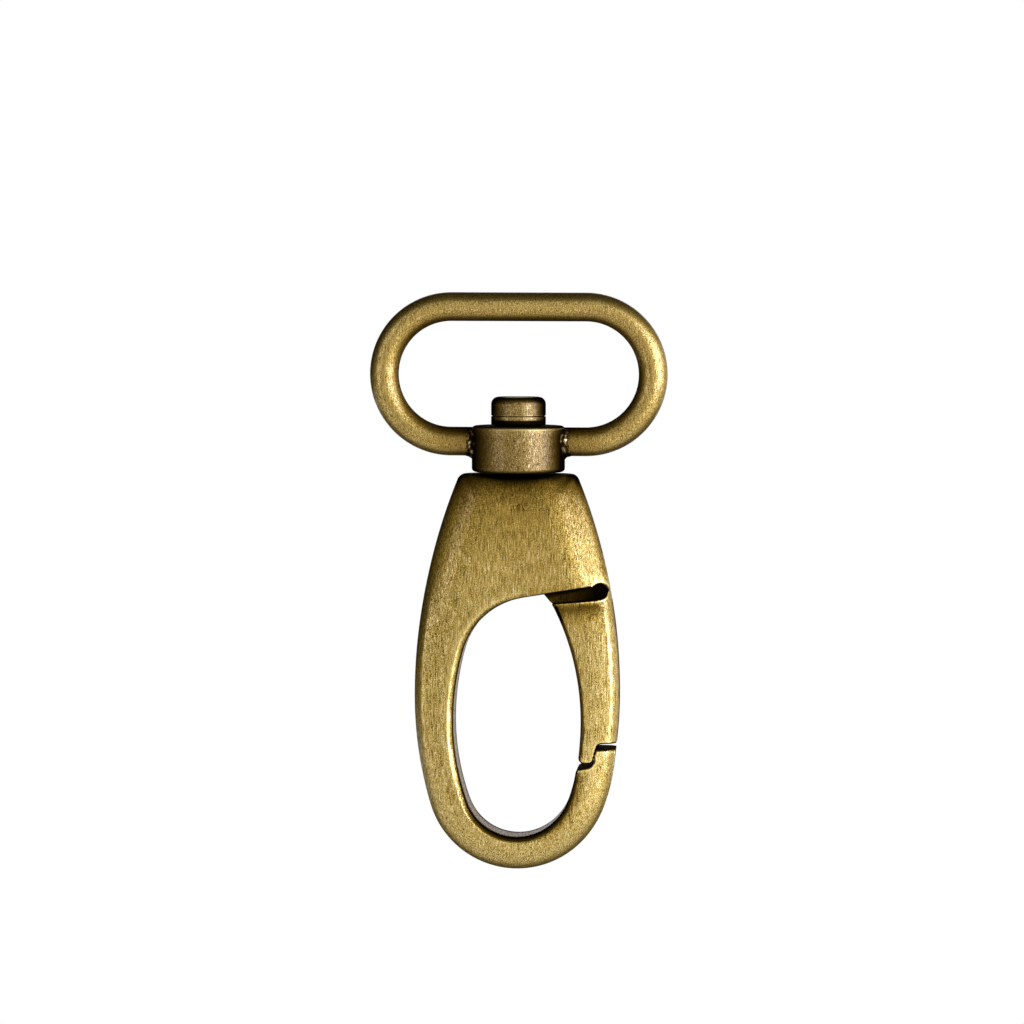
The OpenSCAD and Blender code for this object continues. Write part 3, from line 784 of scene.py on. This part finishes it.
def cut(piece, operation, tools):
    """Cuts tool meshes out of a piece, or joins them to it, and keeps only the result."""
    helpers = []
    for mesh in tools:
        helper = new_object("tool", mesh)
        helpers.append(helper)
        step = piece.modifiers.new("cut", "BOOLEAN")
        step.operation = operation
        step.solver = "EXACT"
        step.object = helper
    bpy.context.view_layer.update()
    graph = bpy.context.evaluated_depsgraph_get()
    result = bpy.data.meshes.new_from_object(piece.evaluated_get(graph))
    piece.modifiers.clear()
    piece.data = result
    result.set_sharp_from_angle(angle=math.radians(SHARP_ANGLE))
    for helper in helpers:
        bpy.data.objects.remove(helper)


# Materials


def linear(code):
    """Linear colour of an sRGB hex value."""
    parts = [int(code[i:i + 2], 16) / 255 for i in (1, 3, 5)]
    return tuple(p / 12.92 if p <= 0.04045 else ((p + 0.055) / 1.055) ** 2.4 for p in parts) + (1.0,)


def add_node(tree, kind, inputs, **settings):
    """Adds a shader node of a kind; each input is a value or another node's output."""
    node = tree.nodes.new("ShaderNode" + kind)
    for key, value in settings.items():
        setattr(node, key, value)
    for key, value in inputs.items():
        if isinstance(value, bpy.types.NodeSocket):
            tree.links.new(value, node.inputs[key])
        else:
            node.inputs[key].default_value = value
    return node


def new_material(name):
    material = bpy.data.materials.new(name)
    material.use_nodes = True
    material.node_tree.nodes.clear()
    return material, material.node_tree


# Width in millimetres of a brush stroke, a grain and a cloud, and the grain's share. Real strokes are
# about half as wide, too fine to show here, so they are drawn coarser.
STROKE_W = 0.065
GRAIN_W = 0.065
CLOUD_W = 5.0
GRAIN_SHARE = 0.6


def antique_brass(name, colours, roughness, stroke, contrast, lacquer):
    """Brass with a brown patina, brushed upright so that the patina stays in the strokes, then lacquered.

    The eye sees fine upright streaks, nearly black in hollows and where shade is painted, paler where
    highlights are painted, and a whitish gloss of lacquer over the warm metal. The colours run from
    blackened through patina and brass to pale, following a tone that holds painted shade and painted
    highlights as well as patina; stroke is the width and length of a brush stroke in millimetres,
    contrast is how much the strokes differ, and lacquer is the share of the surface that still has it.
    """
    material, tree = new_material(name)
    spot = add_node(tree, "TexCoord", {}).outputs["Object"]
    width, length = (1 / (s * MM) for s in stroke)
    stretched = add_node(tree, "Mapping", {"Vector": spot, "Scale": (width, width, length)})
    strokes = add_node(tree, "TexNoise", {
        "Vector": stretched.outputs["Vector"], "Scale": 1.0, "Detail": 2.0, "Roughness": 0.5})
    grain = add_node(tree, "TexNoise", {
        "Vector": spot, "Scale": 1 / (GRAIN_W * MM), "Detail": 1.0, "Roughness": 0.5})
    clouds = add_node(tree, "TexNoise", {
        "Vector": spot, "Scale": 1 / (CLOUD_W * MM), "Detail": 2.0, "Roughness": 0.5})
    marks = add_node(tree, "Mix", {
        0: GRAIN_SHARE, 2: strokes.outputs["Fac"], 3: grain.outputs["Fac"]}).outputs[0]
    level = add_node(tree, "Math", {0: marks, 1: contrast, 2: -contrast / 2}, operation="MULTIPLY_ADD")
    cloud = add_node(tree, "Math", {
        0: clouds.outputs["Fac"], 1: 0.16, 2: -0.08}, operation="MULTIPLY_ADD")
    tone = add_node(tree, "Attribute", {}, attribute_name="tone").outputs["Fac"]
    uneven = add_node(tree, "Math", {0: level.outputs[0], 1: cloud.outputs[0]}, operation="ADD")
    rest = add_node(tree, "Math", {0: 1.0, 1: tone}, operation="SUBTRACT")
    room = add_node(tree, "Math", {0: tone, 1: rest.outputs[0]}, operation="MINIMUM")
    total = add_node(tree, "Math", {
        0: uneven.outputs[0], 1: room.outputs[0], 2: tone}, operation="MULTIPLY_ADD", use_clamp=True)
    ramp = add_node(tree, "ValToRGB", {"Fac": total.outputs[0]})
    stops = ramp.color_ramp.elements
    for share in (0.25, 0.5, 0.75):
        stops.new(share)
    for stop, colour in zip(stops, colours):
        stop.color = linear(colour)
    gloss = add_node(tree, "MapRange", {
        "Value": total.outputs[0], "To Min": roughness + 0.15, "To Max": roughness - 0.1})
    coat = add_node(tree, "MapRange", {
        "Value": total.outputs[0], "From Min": 0.2, "From Max": 0.45, "To Max": lacquer})
    bump = add_node(tree, "Bump", {"Height": marks, "Strength": 0.3, "Distance": 0.02 * MM})
    surface = add_node(tree, "BsdfPrincipled", {
        "Base Color": ramp.outputs["Color"], "Metallic": 1.0, "Roughness": gloss.outputs["Result"],
        "Specular Tint": linear("#8C7C5C"), "Coat Weight": coat.outputs["Result"],
        "Coat Roughness": 0.26, "Normal": bump.outputs["Normal"]})
    add_node(tree, "OutputMaterial", {"Surface": surface.outputs["BSDF"]})
    return material


CAST = antique_brass(
    "antique_brass_cast_brushed", ("#100A02", "#705618", "#A88828", "#D2B252", "#F4E6B4"),
    roughness=0.46, stroke=(STROKE_W, 1.2), contrast=8.0, lacquer=1.0)
WIRE = antique_brass(
    "antique_brass_wire_brushed", ("#100A02", "#6A5016", "#A0802A", "#CCAE58", "#F4E6B4"),
    roughness=0.45, stroke=(STROKE_W, 1.0), contrast=5.5, lacquer=1.0)
TURNED = antique_brass(
    "antique_brass_turned", ("#0C0802", "#46350E", "#7A6028", "#AA8C4A", "#E8D8A0"),
    roughness=0.52, stroke=(STROKE_W, 0.5), contrast=5.0, lacquer=0.5)
BRAZE = antique_brass(
    "braze_rough", ("#0C0802", "#3A2A0E", "#7A6130", "#B8A060", "#F0E8C8"),
    roughness=0.36, stroke=(0.3, 0.3), contrast=6.0, lacquer=1.0)


def spring_steel():
    """Drawn spring steel, smooth and grey, with faint marks of the die along it."""
    material, tree = new_material("steel_drawn")
    spot = add_node(tree, "TexCoord", {}).outputs["Object"]
    marks = add_node(tree, "TexNoise", {"Vector": spot, "Scale": 1 / (0.3 * MM), "Detail": 3.0})
    ramp = add_node(tree, "ValToRGB", {"Fac": marks.outputs["Fac"]})
    ramp.color_ramp.elements[0].color = linear("#6E6E6A")
    ramp.color_ramp.elements[1].color = linear("#B4B4AE")
    bump = add_node(tree, "Bump", {
        "Height": marks.outputs["Fac"], "Strength": 0.2, "Distance": 0.01 * MM})
    surface = add_node(tree, "BsdfPrincipled", {
        "Base Color": ramp.outputs["Color"], "Metallic": 1.0, "Roughness": 0.3,
        "Normal": bump.outputs["Normal"]})
    add_node(tree, "OutputMaterial", {"Surface": surface.outputs["BSDF"]})
    return material


STEEL = spring_steel()


def place(piece, material, node, body):
    """Gives a piece its finish and lets it stand for its CAD node."""
    piece.data.materials.clear()
    piece.data.materials.append(material)
    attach(piece, body)
    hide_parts(node)


# Pieces


def edge_round(radius, z, edge, start, stop, first_tone, last_tone):
    """Points of a turned edge rounded between two angles in degrees, with tones from first to last."""
    points = arc((radius, z), edge, start, stop, edge / 6)
    tones = np.linspace(first_tone, last_tone, len(points))
    return [(r, z, tone) for (r, z), tone in zip(points, tones)]


def make_ring():
    """Bent wire, darker inside the loop and in the last stretch before the collar."""
    sunk = 0.1
    collar_dark, reach = 0.22, 5.0
    half = [(x, 0, WIRE_Z) for x in np.linspace(COLLAR_R, LOOP_HALF, 8)]
    half += [(x, 0, z) for x, z in arc((LOOP_HALF, -LOOP_R), LOOP_R, -90, 90, 0.28)[1:]]
    half += [(x, 0, 0) for x in np.linspace(LOOP_HALF, 0, 16)[1:]]
    path = half + [(-x, y, z) for x, y, z in reversed(half[:-1])]

    def onto_collar(point):
        x = math.copysign(math.sqrt(COLLAR_R**2 - point[1] ** 2) - sunk, point[0])
        return np.array([x, point[1], point[2]])

    tones = []
    for x, _, z in path:
        low = z < WIRE_Z / 2
        tones.append(0.5 - collar_dark * max(0, 1 - (abs(x) - COLLAR_R) / reach) * low)
    mesh = tube(path, WIRE_R, 48, tones, onto_collar, hidden=0.33)
    ring = new_piece("strap_ring_wire", mesh)
    place(ring, WIRE, "strap_ring", "loop")


def make_collar():
    low, high = COLLAR_LOW[2], COLLAR_HIGH[2]
    bore = SHANK_R + SHANK_CLEAR
    inside = COLLAR_R - COLLAR_EDGE
    # Tones: painted shadow on the bottom edge over the hook, a painted highlight along the top edge, the
    # top face black as painted shade with patina; flank paints shade on both sides
    section = [(bore, low, 0)]
    section += edge_round(inside, low + COLLAR_EDGE, COLLAR_EDGE, -90, 0, 0.1, 0.5)
    section += [(COLLAR_R, z, 0.5) for z in np.linspace(low + COLLAR_EDGE, high - COLLAR_EDGE, 8)[1:-1]]
    section += edge_round(inside, high - COLLAR_EDGE, COLLAR_EDGE, 0, 30, 0.6, 0.95)
    section += edge_round(inside, high - COLLAR_EDGE, COLLAR_EDGE, 40, 90, 0.4, 0.0)
    section += [(inside - 0.1, high, 0), (bore, high, 0)]
    collar = new_piece("swivel_collar_turned", turned(section, flank=0.68))
    place(collar, TURNED, "swivel_collar", "loop")


def make_pin():
    low, high = PIN_LOW[2], PIN_HIGH[2]
    under = COLLAR_HIGH[2] + HEAD_GAP
    groove = under + GROOVE_UP
    small = 0.12
    # Tones: black shank and underside and a dark band at the head's foot as painted shadow over the
    # collar, painted highlights beside a dark groove, painted shade on the top's rounding; flank paints
    # shade on both sides
    section = [(0, low, 0), (SHANK_R, low, 0), (SHANK_R, under, 0)]
    section += edge_round(HEAD_R - small, under + small, small, -90, 0, 0, 0)
    section += [(HEAD_R, under + 0.45, 0.05), (HEAD_R, under + 0.55, 0.5)]
    section += [(HEAD_R, groove, 0.65), (HEAD_R - GROOVE_D, groove + 0.04, 0.2)]
    section += [(HEAD_R - GROOVE_D, groove + 0.09, 0.2), (HEAD_R, groove + 0.13, 0.65)]
    section += [(HEAD_R, groove + 0.25, 0.5), (HEAD_R, high - HEAD_EDGE - 0.1, 0.5)]
    section += edge_round(HEAD_R - HEAD_EDGE, high - HEAD_EDGE, HEAD_EDGE, 0, 50, 0.5, 0.1)
    section += edge_round(HEAD_R - HEAD_EDGE, high - HEAD_EDGE, HEAD_EDGE, 60, 90, 0.15, 0.5)
    section += [(0, high, 0.5)]
    pin = new_piece("swivel_pin_turned", turned(section, flank=0.7))
    place(pin, TURNED, "swivel_pin", "hook")


def make_braze():
    """Lumpy fillets of braze round the wire where it enters the collar."""
    verts, polygons, tones = [], [], []
    around, across = 72, 10
    for side in (-1, 1):
        first = len(verts)
        for i in range(around):
            turn = 2 * math.pi * i / around
            for j in range(across):
                share = j / (across - 1)
                radius = WIRE_R + FILLET_H * (1 - share) ** 1.8
                reach = FILLET_L * share**1.6
                spot = Vector((side * 3 + math.cos(turn) * 2, math.sin(turn) * 2, share * 2.0))
                lump = sum(rise * noise.noise(spot * scale) for rise, scale in LUMPS)
                if j == across - 1:
                    lump = -0.02
                radius = max(radius + lump * (1 - 0.4 * share), WIRE_R - 0.05)
                y = radius * math.cos(turn)
                z = WIRE_Z + radius * math.sin(turn)
                z = min(max(z, COLLAR_LOW[2] + 0.2), COLLAR_HIGH[2] - 0.3)
                x = math.sqrt(COLLAR_R**2 - y**2) + reach - BRAZE_SINK
                verts.append((side * x, y, z))
                # Painted glints on the lumps' tops, on a dark braze
                tones.append(min(max(0.12 + 4 * lump, 0), 1))
            y = (WIRE_R - BRAZE_IN) * math.cos(turn)
            z = WIRE_Z + (WIRE_R - BRAZE_IN) * math.sin(turn)
            verts.append((side * (math.sqrt(COLLAR_R**2 - y**2) - BRAZE_SINK), y, z))
            tones.append(0)
        loop = across + 1
        for i in range(around):
            k = (i + 1) % around
            for j in range(loop):
                m = (j + 1) % loop
                a, b = first + i * loop, first + k * loop
                polygons.append((a + j, b + j, b + m, a + m))
    mesh = solid_mesh(verts, polygons, tones)
    fillets = new_piece("braze_fillets_rough", mesh, angle=60)
    place(fillets, BRAZE, "braze_fillets", "loop")


def retone(piece, rule):
    """Sets the tone of each point of a piece from its place in millimetres and its tone so far."""
    for vert, item in zip(piece.data.vertices, piece.data.attributes["tone"].data):
        item.value = rule(vert.co / MM, item.value)


def make_hook():
    """Casting with a slot for the gate, and seats for both pins and the spring."""
    hook = new_piece("hook_body_cast", cast_mesh(hook_contour()))
    slot = prism(slot_front(RIM_SKIN), -SLOT_T / 2, SLOT_T / 2)
    rim_slot = prism(slot_front(-1), -RIM_SLOT_T / 2, RIM_SLOT_T / 2)
    pin_hole = round_bar(PIN_R, PIN_SKIN - BODY_T / 2, BODY_T)
    seat_low = BODY_TOP - SHANK_SEAT
    seat_r = SHANK_R + PRESS
    seat_high = BODY_TOP + 1
    seat = turned([
        (0, seat_low, 0), (seat_r, seat_low, 0), (seat_r, seat_high, 0), (0, seat_high, 0)], 64)
    roof_z = PIVOT[1] + LEG_ROOF
    leg_seat = block(
        (LEG_X - LEG_HOLE_R, roof_z - LEG_SEAT_L), (LEG_X + LEG_HOLE_R, roof_z + LEG_SEAT_L),
        -COIL_RISE / 2 - LEG_HOLE_R, -COIL_RISE / 2 + LEG_HOLE_R)
    cut(hook, "DIFFERENCE", [slot, rim_slot, pin_hole, seat, leg_seat])

    def slot_rim(spot, tone):
        """Worn paler where the slot comes out at the rim."""
        in_slot = SEAM_Z < spot.z < PIVOT[1] + TONGUE_TOP + 0.1 and abs(spot.y) < SLOT_T / 2 + 0.01
        return SLOT_RIM_TONE if in_slot and spot.x > outline_x(spot.z) - 1.3 and tone < 0.1 else tone

    retone(hook, slot_rim)
    place(hook, CAST, "hook_body", "hook")


def flank_arc(inset, low, high):
    """Part of the hook's upper outline from one height to another, moved inwards."""
    radius = FLANK_R - inset
    start, stop = (at_height(WIDEST_Z, radius, z) for z in (low, high))
    return arc((-FLANK_X, WIDEST_Z), radius, start, stop, 0.3)


def behind(inset, points):
    """Those points that lie at least an inset behind the hook's upper outline."""
    return points[np.hypot(points[:, 0] + FLANK_X, points[:, 1] - WIDEST_Z) < FLANK_R - inset]


def slot_front(inset):
    """Front view of the slot for the gate's tongue, open to the eye, up to an inset from the outline."""
    roof = TONGUE_TOP + TONGUE_ROOM
    floor_z = shoulder_at(NOTCH_X)
    swing = behind(inset, arc(PIVOT, SLOT_R, at_height(0, SLOT_R, roof), 255, INSIDE_STEP))
    flank = flank_arc(inset, floor_z, PIVOT[1] + roof)
    return np.vstack([flank, swing, [(PIVOT[0], floor_z)]])


def tongue_front(inset):
    """Front view of the gate's tongue: round at the pivot, and an inset behind the hook's outline."""
    shoulder_z = shoulder_at(TONGUE_LIP_X + 1.5)
    shoulder_x = gate_inner_x(shoulder_z)
    foot_z = shoulder_z - 0.8
    flank = flank_arc(inset, foot_z, PIVOT[1] + TONGUE_TOP)
    swing = behind(inset, arc(PIVOT, TONGUE_R, at_height(0, TONGUE_R, TONGUE_TOP), 205, INSIDE_STEP))
    bend = rounded([
        (*swing[-1], 0),
        (TONGUE_LIP_X, lip_at(TONGUE_LIP_X), 0.6),
        (shoulder_x - NECK_OUT, shoulder_z, 0),
    ], INSIDE_STEP)
    return np.vstack([flank, swing[:-1], bend, [(shoulder_x + 1, foot_z)]])


def make_gate():
    """Casting with a forked tongue that turns in the hook's slot."""
    gate = new_piece("gate_cast", cast_mesh(gate_contour()))
    tongue = new_piece("tongue", prism(tongue_front(RIM_SKIN + RIM_ROOM), -TONGUE_T / 2, TONGUE_T / 2))
    cut(tongue, "UNION", [prism(tongue_front(TONGUE_INSET), -RIM_TONGUE_T / 2, RIM_TONGUE_T / 2)])
    cut(tongue, "INTERSECT", [cast_mesh(blank_contour())])
    end = arc(NOTCH_END, NOTCH_END_R, SHOULDER_SLOPE - 90, NOTCH_LIP_TURN, CORNER_STEP)
    gap = np.vstack([end, [(0, lip_at(0)), (0, lip_at(0) - 3), (NOTCH_X, lip_at(0) - 3)]])
    cut(tongue, "DIFFERENCE", [prism(gap, -BODY_T, -NECK_T / 2), prism(gap, NECK_T / 2, BODY_T)])
    tongue_mesh = tongue.data
    bpy.data.objects.remove(tongue)
    cut(gate, "UNION", [tongue_mesh])
    bore = round_bar(PIN_R + PIN_CLEAR, -BODY_T, BODY_T)
    fork = round_bar(FORK_R, -FORK_T / 2, FORK_T / 2)
    mouth = block(
        (PIVOT[0] - SLOT_R, PIVOT[1]), (PIVOT[0] + FORK_R, PIVOT[1] + SLOT_R), -FORK_T / 2, FORK_T / 2)
    leg = [(LEG_X, COIL_RISE / 2, PIVOT[1] - z) for z in np.linspace(0, GATE_LEG_L + LEG_ROOM, 3)]
    leg_hole = tube(leg, LEG_HOLE_R, 32, 0.0)
    cut(gate, "DIFFERENCE", [bore, fork, mouth, leg_hole])

    def tongue_tone(spot, tone):
        """Dark in the gap as painted shade, and brass where the tongue fills the rim."""
        up = spot.z - shoulder_at(spot.x)
        if up < -0.03 or abs(spot.y) > TONGUE_T / 2 + 0.01:
            return tone
        in_neck = abs(spot.y) < NECK_T / 2 + 0.02 and spot.x < outline_x(spot.z) - 0.1
        if spot.x > outline_x(spot.z) - 1.5 and not in_neck:
            return 0.5
        return TONGUE_TONE * max(0, 1 - up / NOTCH_R) * min(max((NOTCH_X - 1.5 - spot.x) / 4, 0), 1)

    retone(gate, tongue_tone)
    place(gate, CAST, "gate", "gate")


def make_gate_pin():
    """Pressed pin with slightly domed ends, turned about the gate's axis."""
    front, back = PIN_SKIN - BODY_T / 2, BODY_T / 2 - PIN_SINK
    edge = 0.15
    dome = 0.06
    section = [(0, front, 0.5), (PIN_R - PRESS, front, 0.5)]
    section += edge_round(PIN_R - PRESS - edge, back - dome - edge, edge, 0, 80, 0.5, 0.5)
    section += [(0.4 * PIN_R, back - 0.2 * dome, 0.5), (0, back, 0.5)]
    mesh = turned(section, 64)
    for vert in mesh.vertices:
        x, y, z = vert.co
        vert.co = (PIVOT[0] * MM + x, z, PIVOT[1] * MM - y)
    pin = new_piece("gate_pin_pressed", mesh)
    place(pin, STEEL, "gate_pin", "hook")


def make_spring():
    """Torsion spring: a leg seated in the hook, three turns round the pin, and a leg inside the gate."""
    roof = LEG_ROOF + LEG_SEAT_L - LEG_ROOM
    half = COIL_RISE / 2
    path = [(COIL_R, -half, z) for z in np.linspace(roof, 0, 10)[:-1]]
    for turn in np.linspace(0, 2 * math.pi * COIL_TURNS, COIL_TURNS * 48 + 1):
        depth = COIL_RISE * turn / (2 * math.pi * COIL_TURNS) - half
        path.append((COIL_R * math.cos(turn), depth, -COIL_R * math.sin(turn)))
    path += [(COIL_R, half, -z) for z in np.linspace(0, GATE_LEG_L, 12)[1:]]
    path = np.array(path) + np.array([PIVOT[0], 0, PIVOT[1]])
    spring = new_piece("gate_spring_wound", tube(path, SPRING_R, 16))
    spring.data.materials.append(STEEL)
    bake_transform(spring)
    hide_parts("gate_spring")


make_ring()
make_collar()
make_pin()
make_braze()
make_hook()
make_gate()
make_gate_pin()
make_spring()


# Studio

AIM = Vector((-0.645, 0, -21.36)) * MM
CAMERA_AZIMUTH = 3.5
CAMERA_RISE = 3.3
CAMERA_ROLL = 0.17
CAMERA_AWAY = 0.485
PIXELS_PER_MM = 9.6
FRAME_PIXELS = 1024
SENSOR_MM = 36.0
MIDDLE = Vector((0, 0, -0.03))
LAMP_AWAY = 0.9
LAMP_HEIGHT = 0.7
CARD_LOW = -0.19


def direction(azimuth, rise):
    """Unit vector to a place in the studio: azimuth from the front to the right and rise, in degrees."""
    a, e = math.radians(azimuth), math.radians(rise)
    return Vector((math.sin(a) * math.cos(e), -math.cos(a) * math.cos(e), math.sin(e)))


def face(obj, target):
    """Turns a lamp or the camera towards a point."""
    obj.rotation_euler = (target - obj.location).to_track_quat("-Z", "Y").to_euler()


def make_camera():
    camera = new_object("camera", bpy.data.cameras.new("camera"))
    camera.location = AIM + CAMERA_AWAY * direction(CAMERA_AZIMUTH, CAMERA_RISE)
    face(camera, AIM)
    camera.rotation_euler.rotate_axis("Z", math.radians(CAMERA_ROLL))
    camera.data.sensor_width = SENSOR_MM
    camera.data.lens = PIXELS_PER_MM * CAMERA_AWAY / MM * SENSOR_MM / FRAME_PIXELS
    camera.data.clip_start = 0.01
    bpy.context.scene.camera = camera


def softbox(name, azimuth, rise, width, radiance, colour):
    """Soft lamp that looks equally bright all over."""
    data = bpy.data.lights.new(name, "AREA")
    data.shape = "RECTANGLE"
    data.size = width
    data.size_y = LAMP_HEIGHT
    data.color = linear(colour)[:3]
    data.energy = radiance * math.pi * width * LAMP_HEIGHT
    lamp = new_object(name, data)
    lamp.location = MIDDLE + LAMP_AWAY * direction(azimuth, rise)
    face(lamp, MIDDLE)
    lamp.visible_camera = False


def card(name, verts, polygons, shade):
    """Card outside the picture that the metal mirrors; shade is how bright it looks, from 0 for black."""
    mesh = bpy.data.meshes.new(name)
    mesh.from_pydata(verts, [], polygons)
    obj = new_object(name, mesh)
    obj.visible_camera = False
    obj.visible_shadow = False
    obj.visible_diffuse = False
    material, tree = new_material("paper_" + name)
    glow = add_node(tree, "Emission", {"Strength": shade})
    add_node(tree, "OutputMaterial", {"Surface": glow.outputs["Emission"]})
    mesh.materials.append(material)


def round_card(name, start, stop, high, away, shade):
    """Upright card bent round the object from one azimuth to another."""
    steps = 24
    verts = []
    for azimuth in np.linspace(start, stop, steps + 1):
        spot = MIDDLE + away * direction(azimuth, 0)
        verts += [(spot.x, spot.y, CARD_LOW), (spot.x, spot.y, high)]
    polygons = [(2 * i, 2 * i + 2, 2 * i + 3, 2 * i + 1) for i in range(steps)]
    card(name, verts, polygons, shade)


def level_card(name, half, front, back, level, shade):
    """Level card above or below the object."""
    verts = [(-half, front, level), (half, front, level), (half, back, level), (-half, back, level)]
    card(name, verts, [(0, 1, 2, 3)], shade)


def seen_share(tree):
    """1 for rays that see a surface from the camera, mirrored or through another, and 0 for others."""
    path = add_node(tree, "LightPath", {})
    shown = add_node(tree, "Math", {
        0: path.outputs["Is Camera Ray"], 1: path.outputs["Is Glossy Ray"]}, operation="MAXIMUM")
    return add_node(tree, "Math", {
        0: shown.outputs[0], 1: path.outputs["Is Transmission Ray"]}, operation="MAXIMUM").outputs[0]


def make_floor():
    """Pale matt floor, white where it is seen, that still takes a trace of shadow."""
    mesh = bpy.data.meshes.new("floor")
    reach, level = 4.0, -0.2
    mesh.from_pydata([(-reach, -reach, level), (reach, -reach, level), (reach, reach, level),
                      (-reach, reach, level)], [], [(0, 1, 2, 3)])
    floor = new_object("floor", mesh)
    material, tree = new_material("paint_white_matt")
    paint = add_node(tree, "BsdfDiffuse", {"Color": linear("#F4F4F2")})
    white = add_node(tree, "Emission", {"Strength": 1.0})
    mixed = add_node(tree, "MixShader", {
        0: seen_share(tree), 1: paint.outputs["BSDF"], 2: white.outputs["Emission"]})
    add_node(tree, "OutputMaterial", {"Surface": mixed.outputs["Shader"]})
    mesh.materials.append(material)


def make_world():
    world = bpy.data.worlds.new("studio")
    bpy.context.scene.world = world
    world.use_nodes = True
    tree = world.node_tree
    tree.nodes.clear()
    grey = add_node(tree, "Background", {"Color": (1, 1, 1, 1), "Strength": 0.6})
    white = add_node(tree, "Background", {"Color": (1, 1, 1, 1), "Strength": 1.0})
    mixed = add_node(tree, "MixShader", {
        0: seen_share(tree), 1: grey.outputs["Background"], 2: white.outputs["Background"]})
    add_node(tree, "OutputWorld", {"Surface": mixed.outputs["Shader"]})


make_camera()
make_world()
make_floor()
softbox("softbox_right", 57, 8, width=0.94, radiance=7.6, colour="#DCE3FF")
softbox("softbox_left", -42, 5, width=0.28, radiance=1.5, colour="#FFFFFF")
round_card("card_left", -62, -160, high=1.0, away=0.8, shade=0.02)
round_card("card_right", 142, 160, high=1.0, away=0.8, shade=0.7)
round_card("card_front_left", -12, -40, high=0.6, away=1.1, shade=0.4)
level_card("card_above", half=0.9, front=-0.42, back=0.9, level=0.42, shade=0.02)
level_card("card_below", half=0.4, front=-0.02, back=0.4, level=CARD_LOW, shade=0.12)
bpy.context.scene.view_settings.view_transform = "Standard"
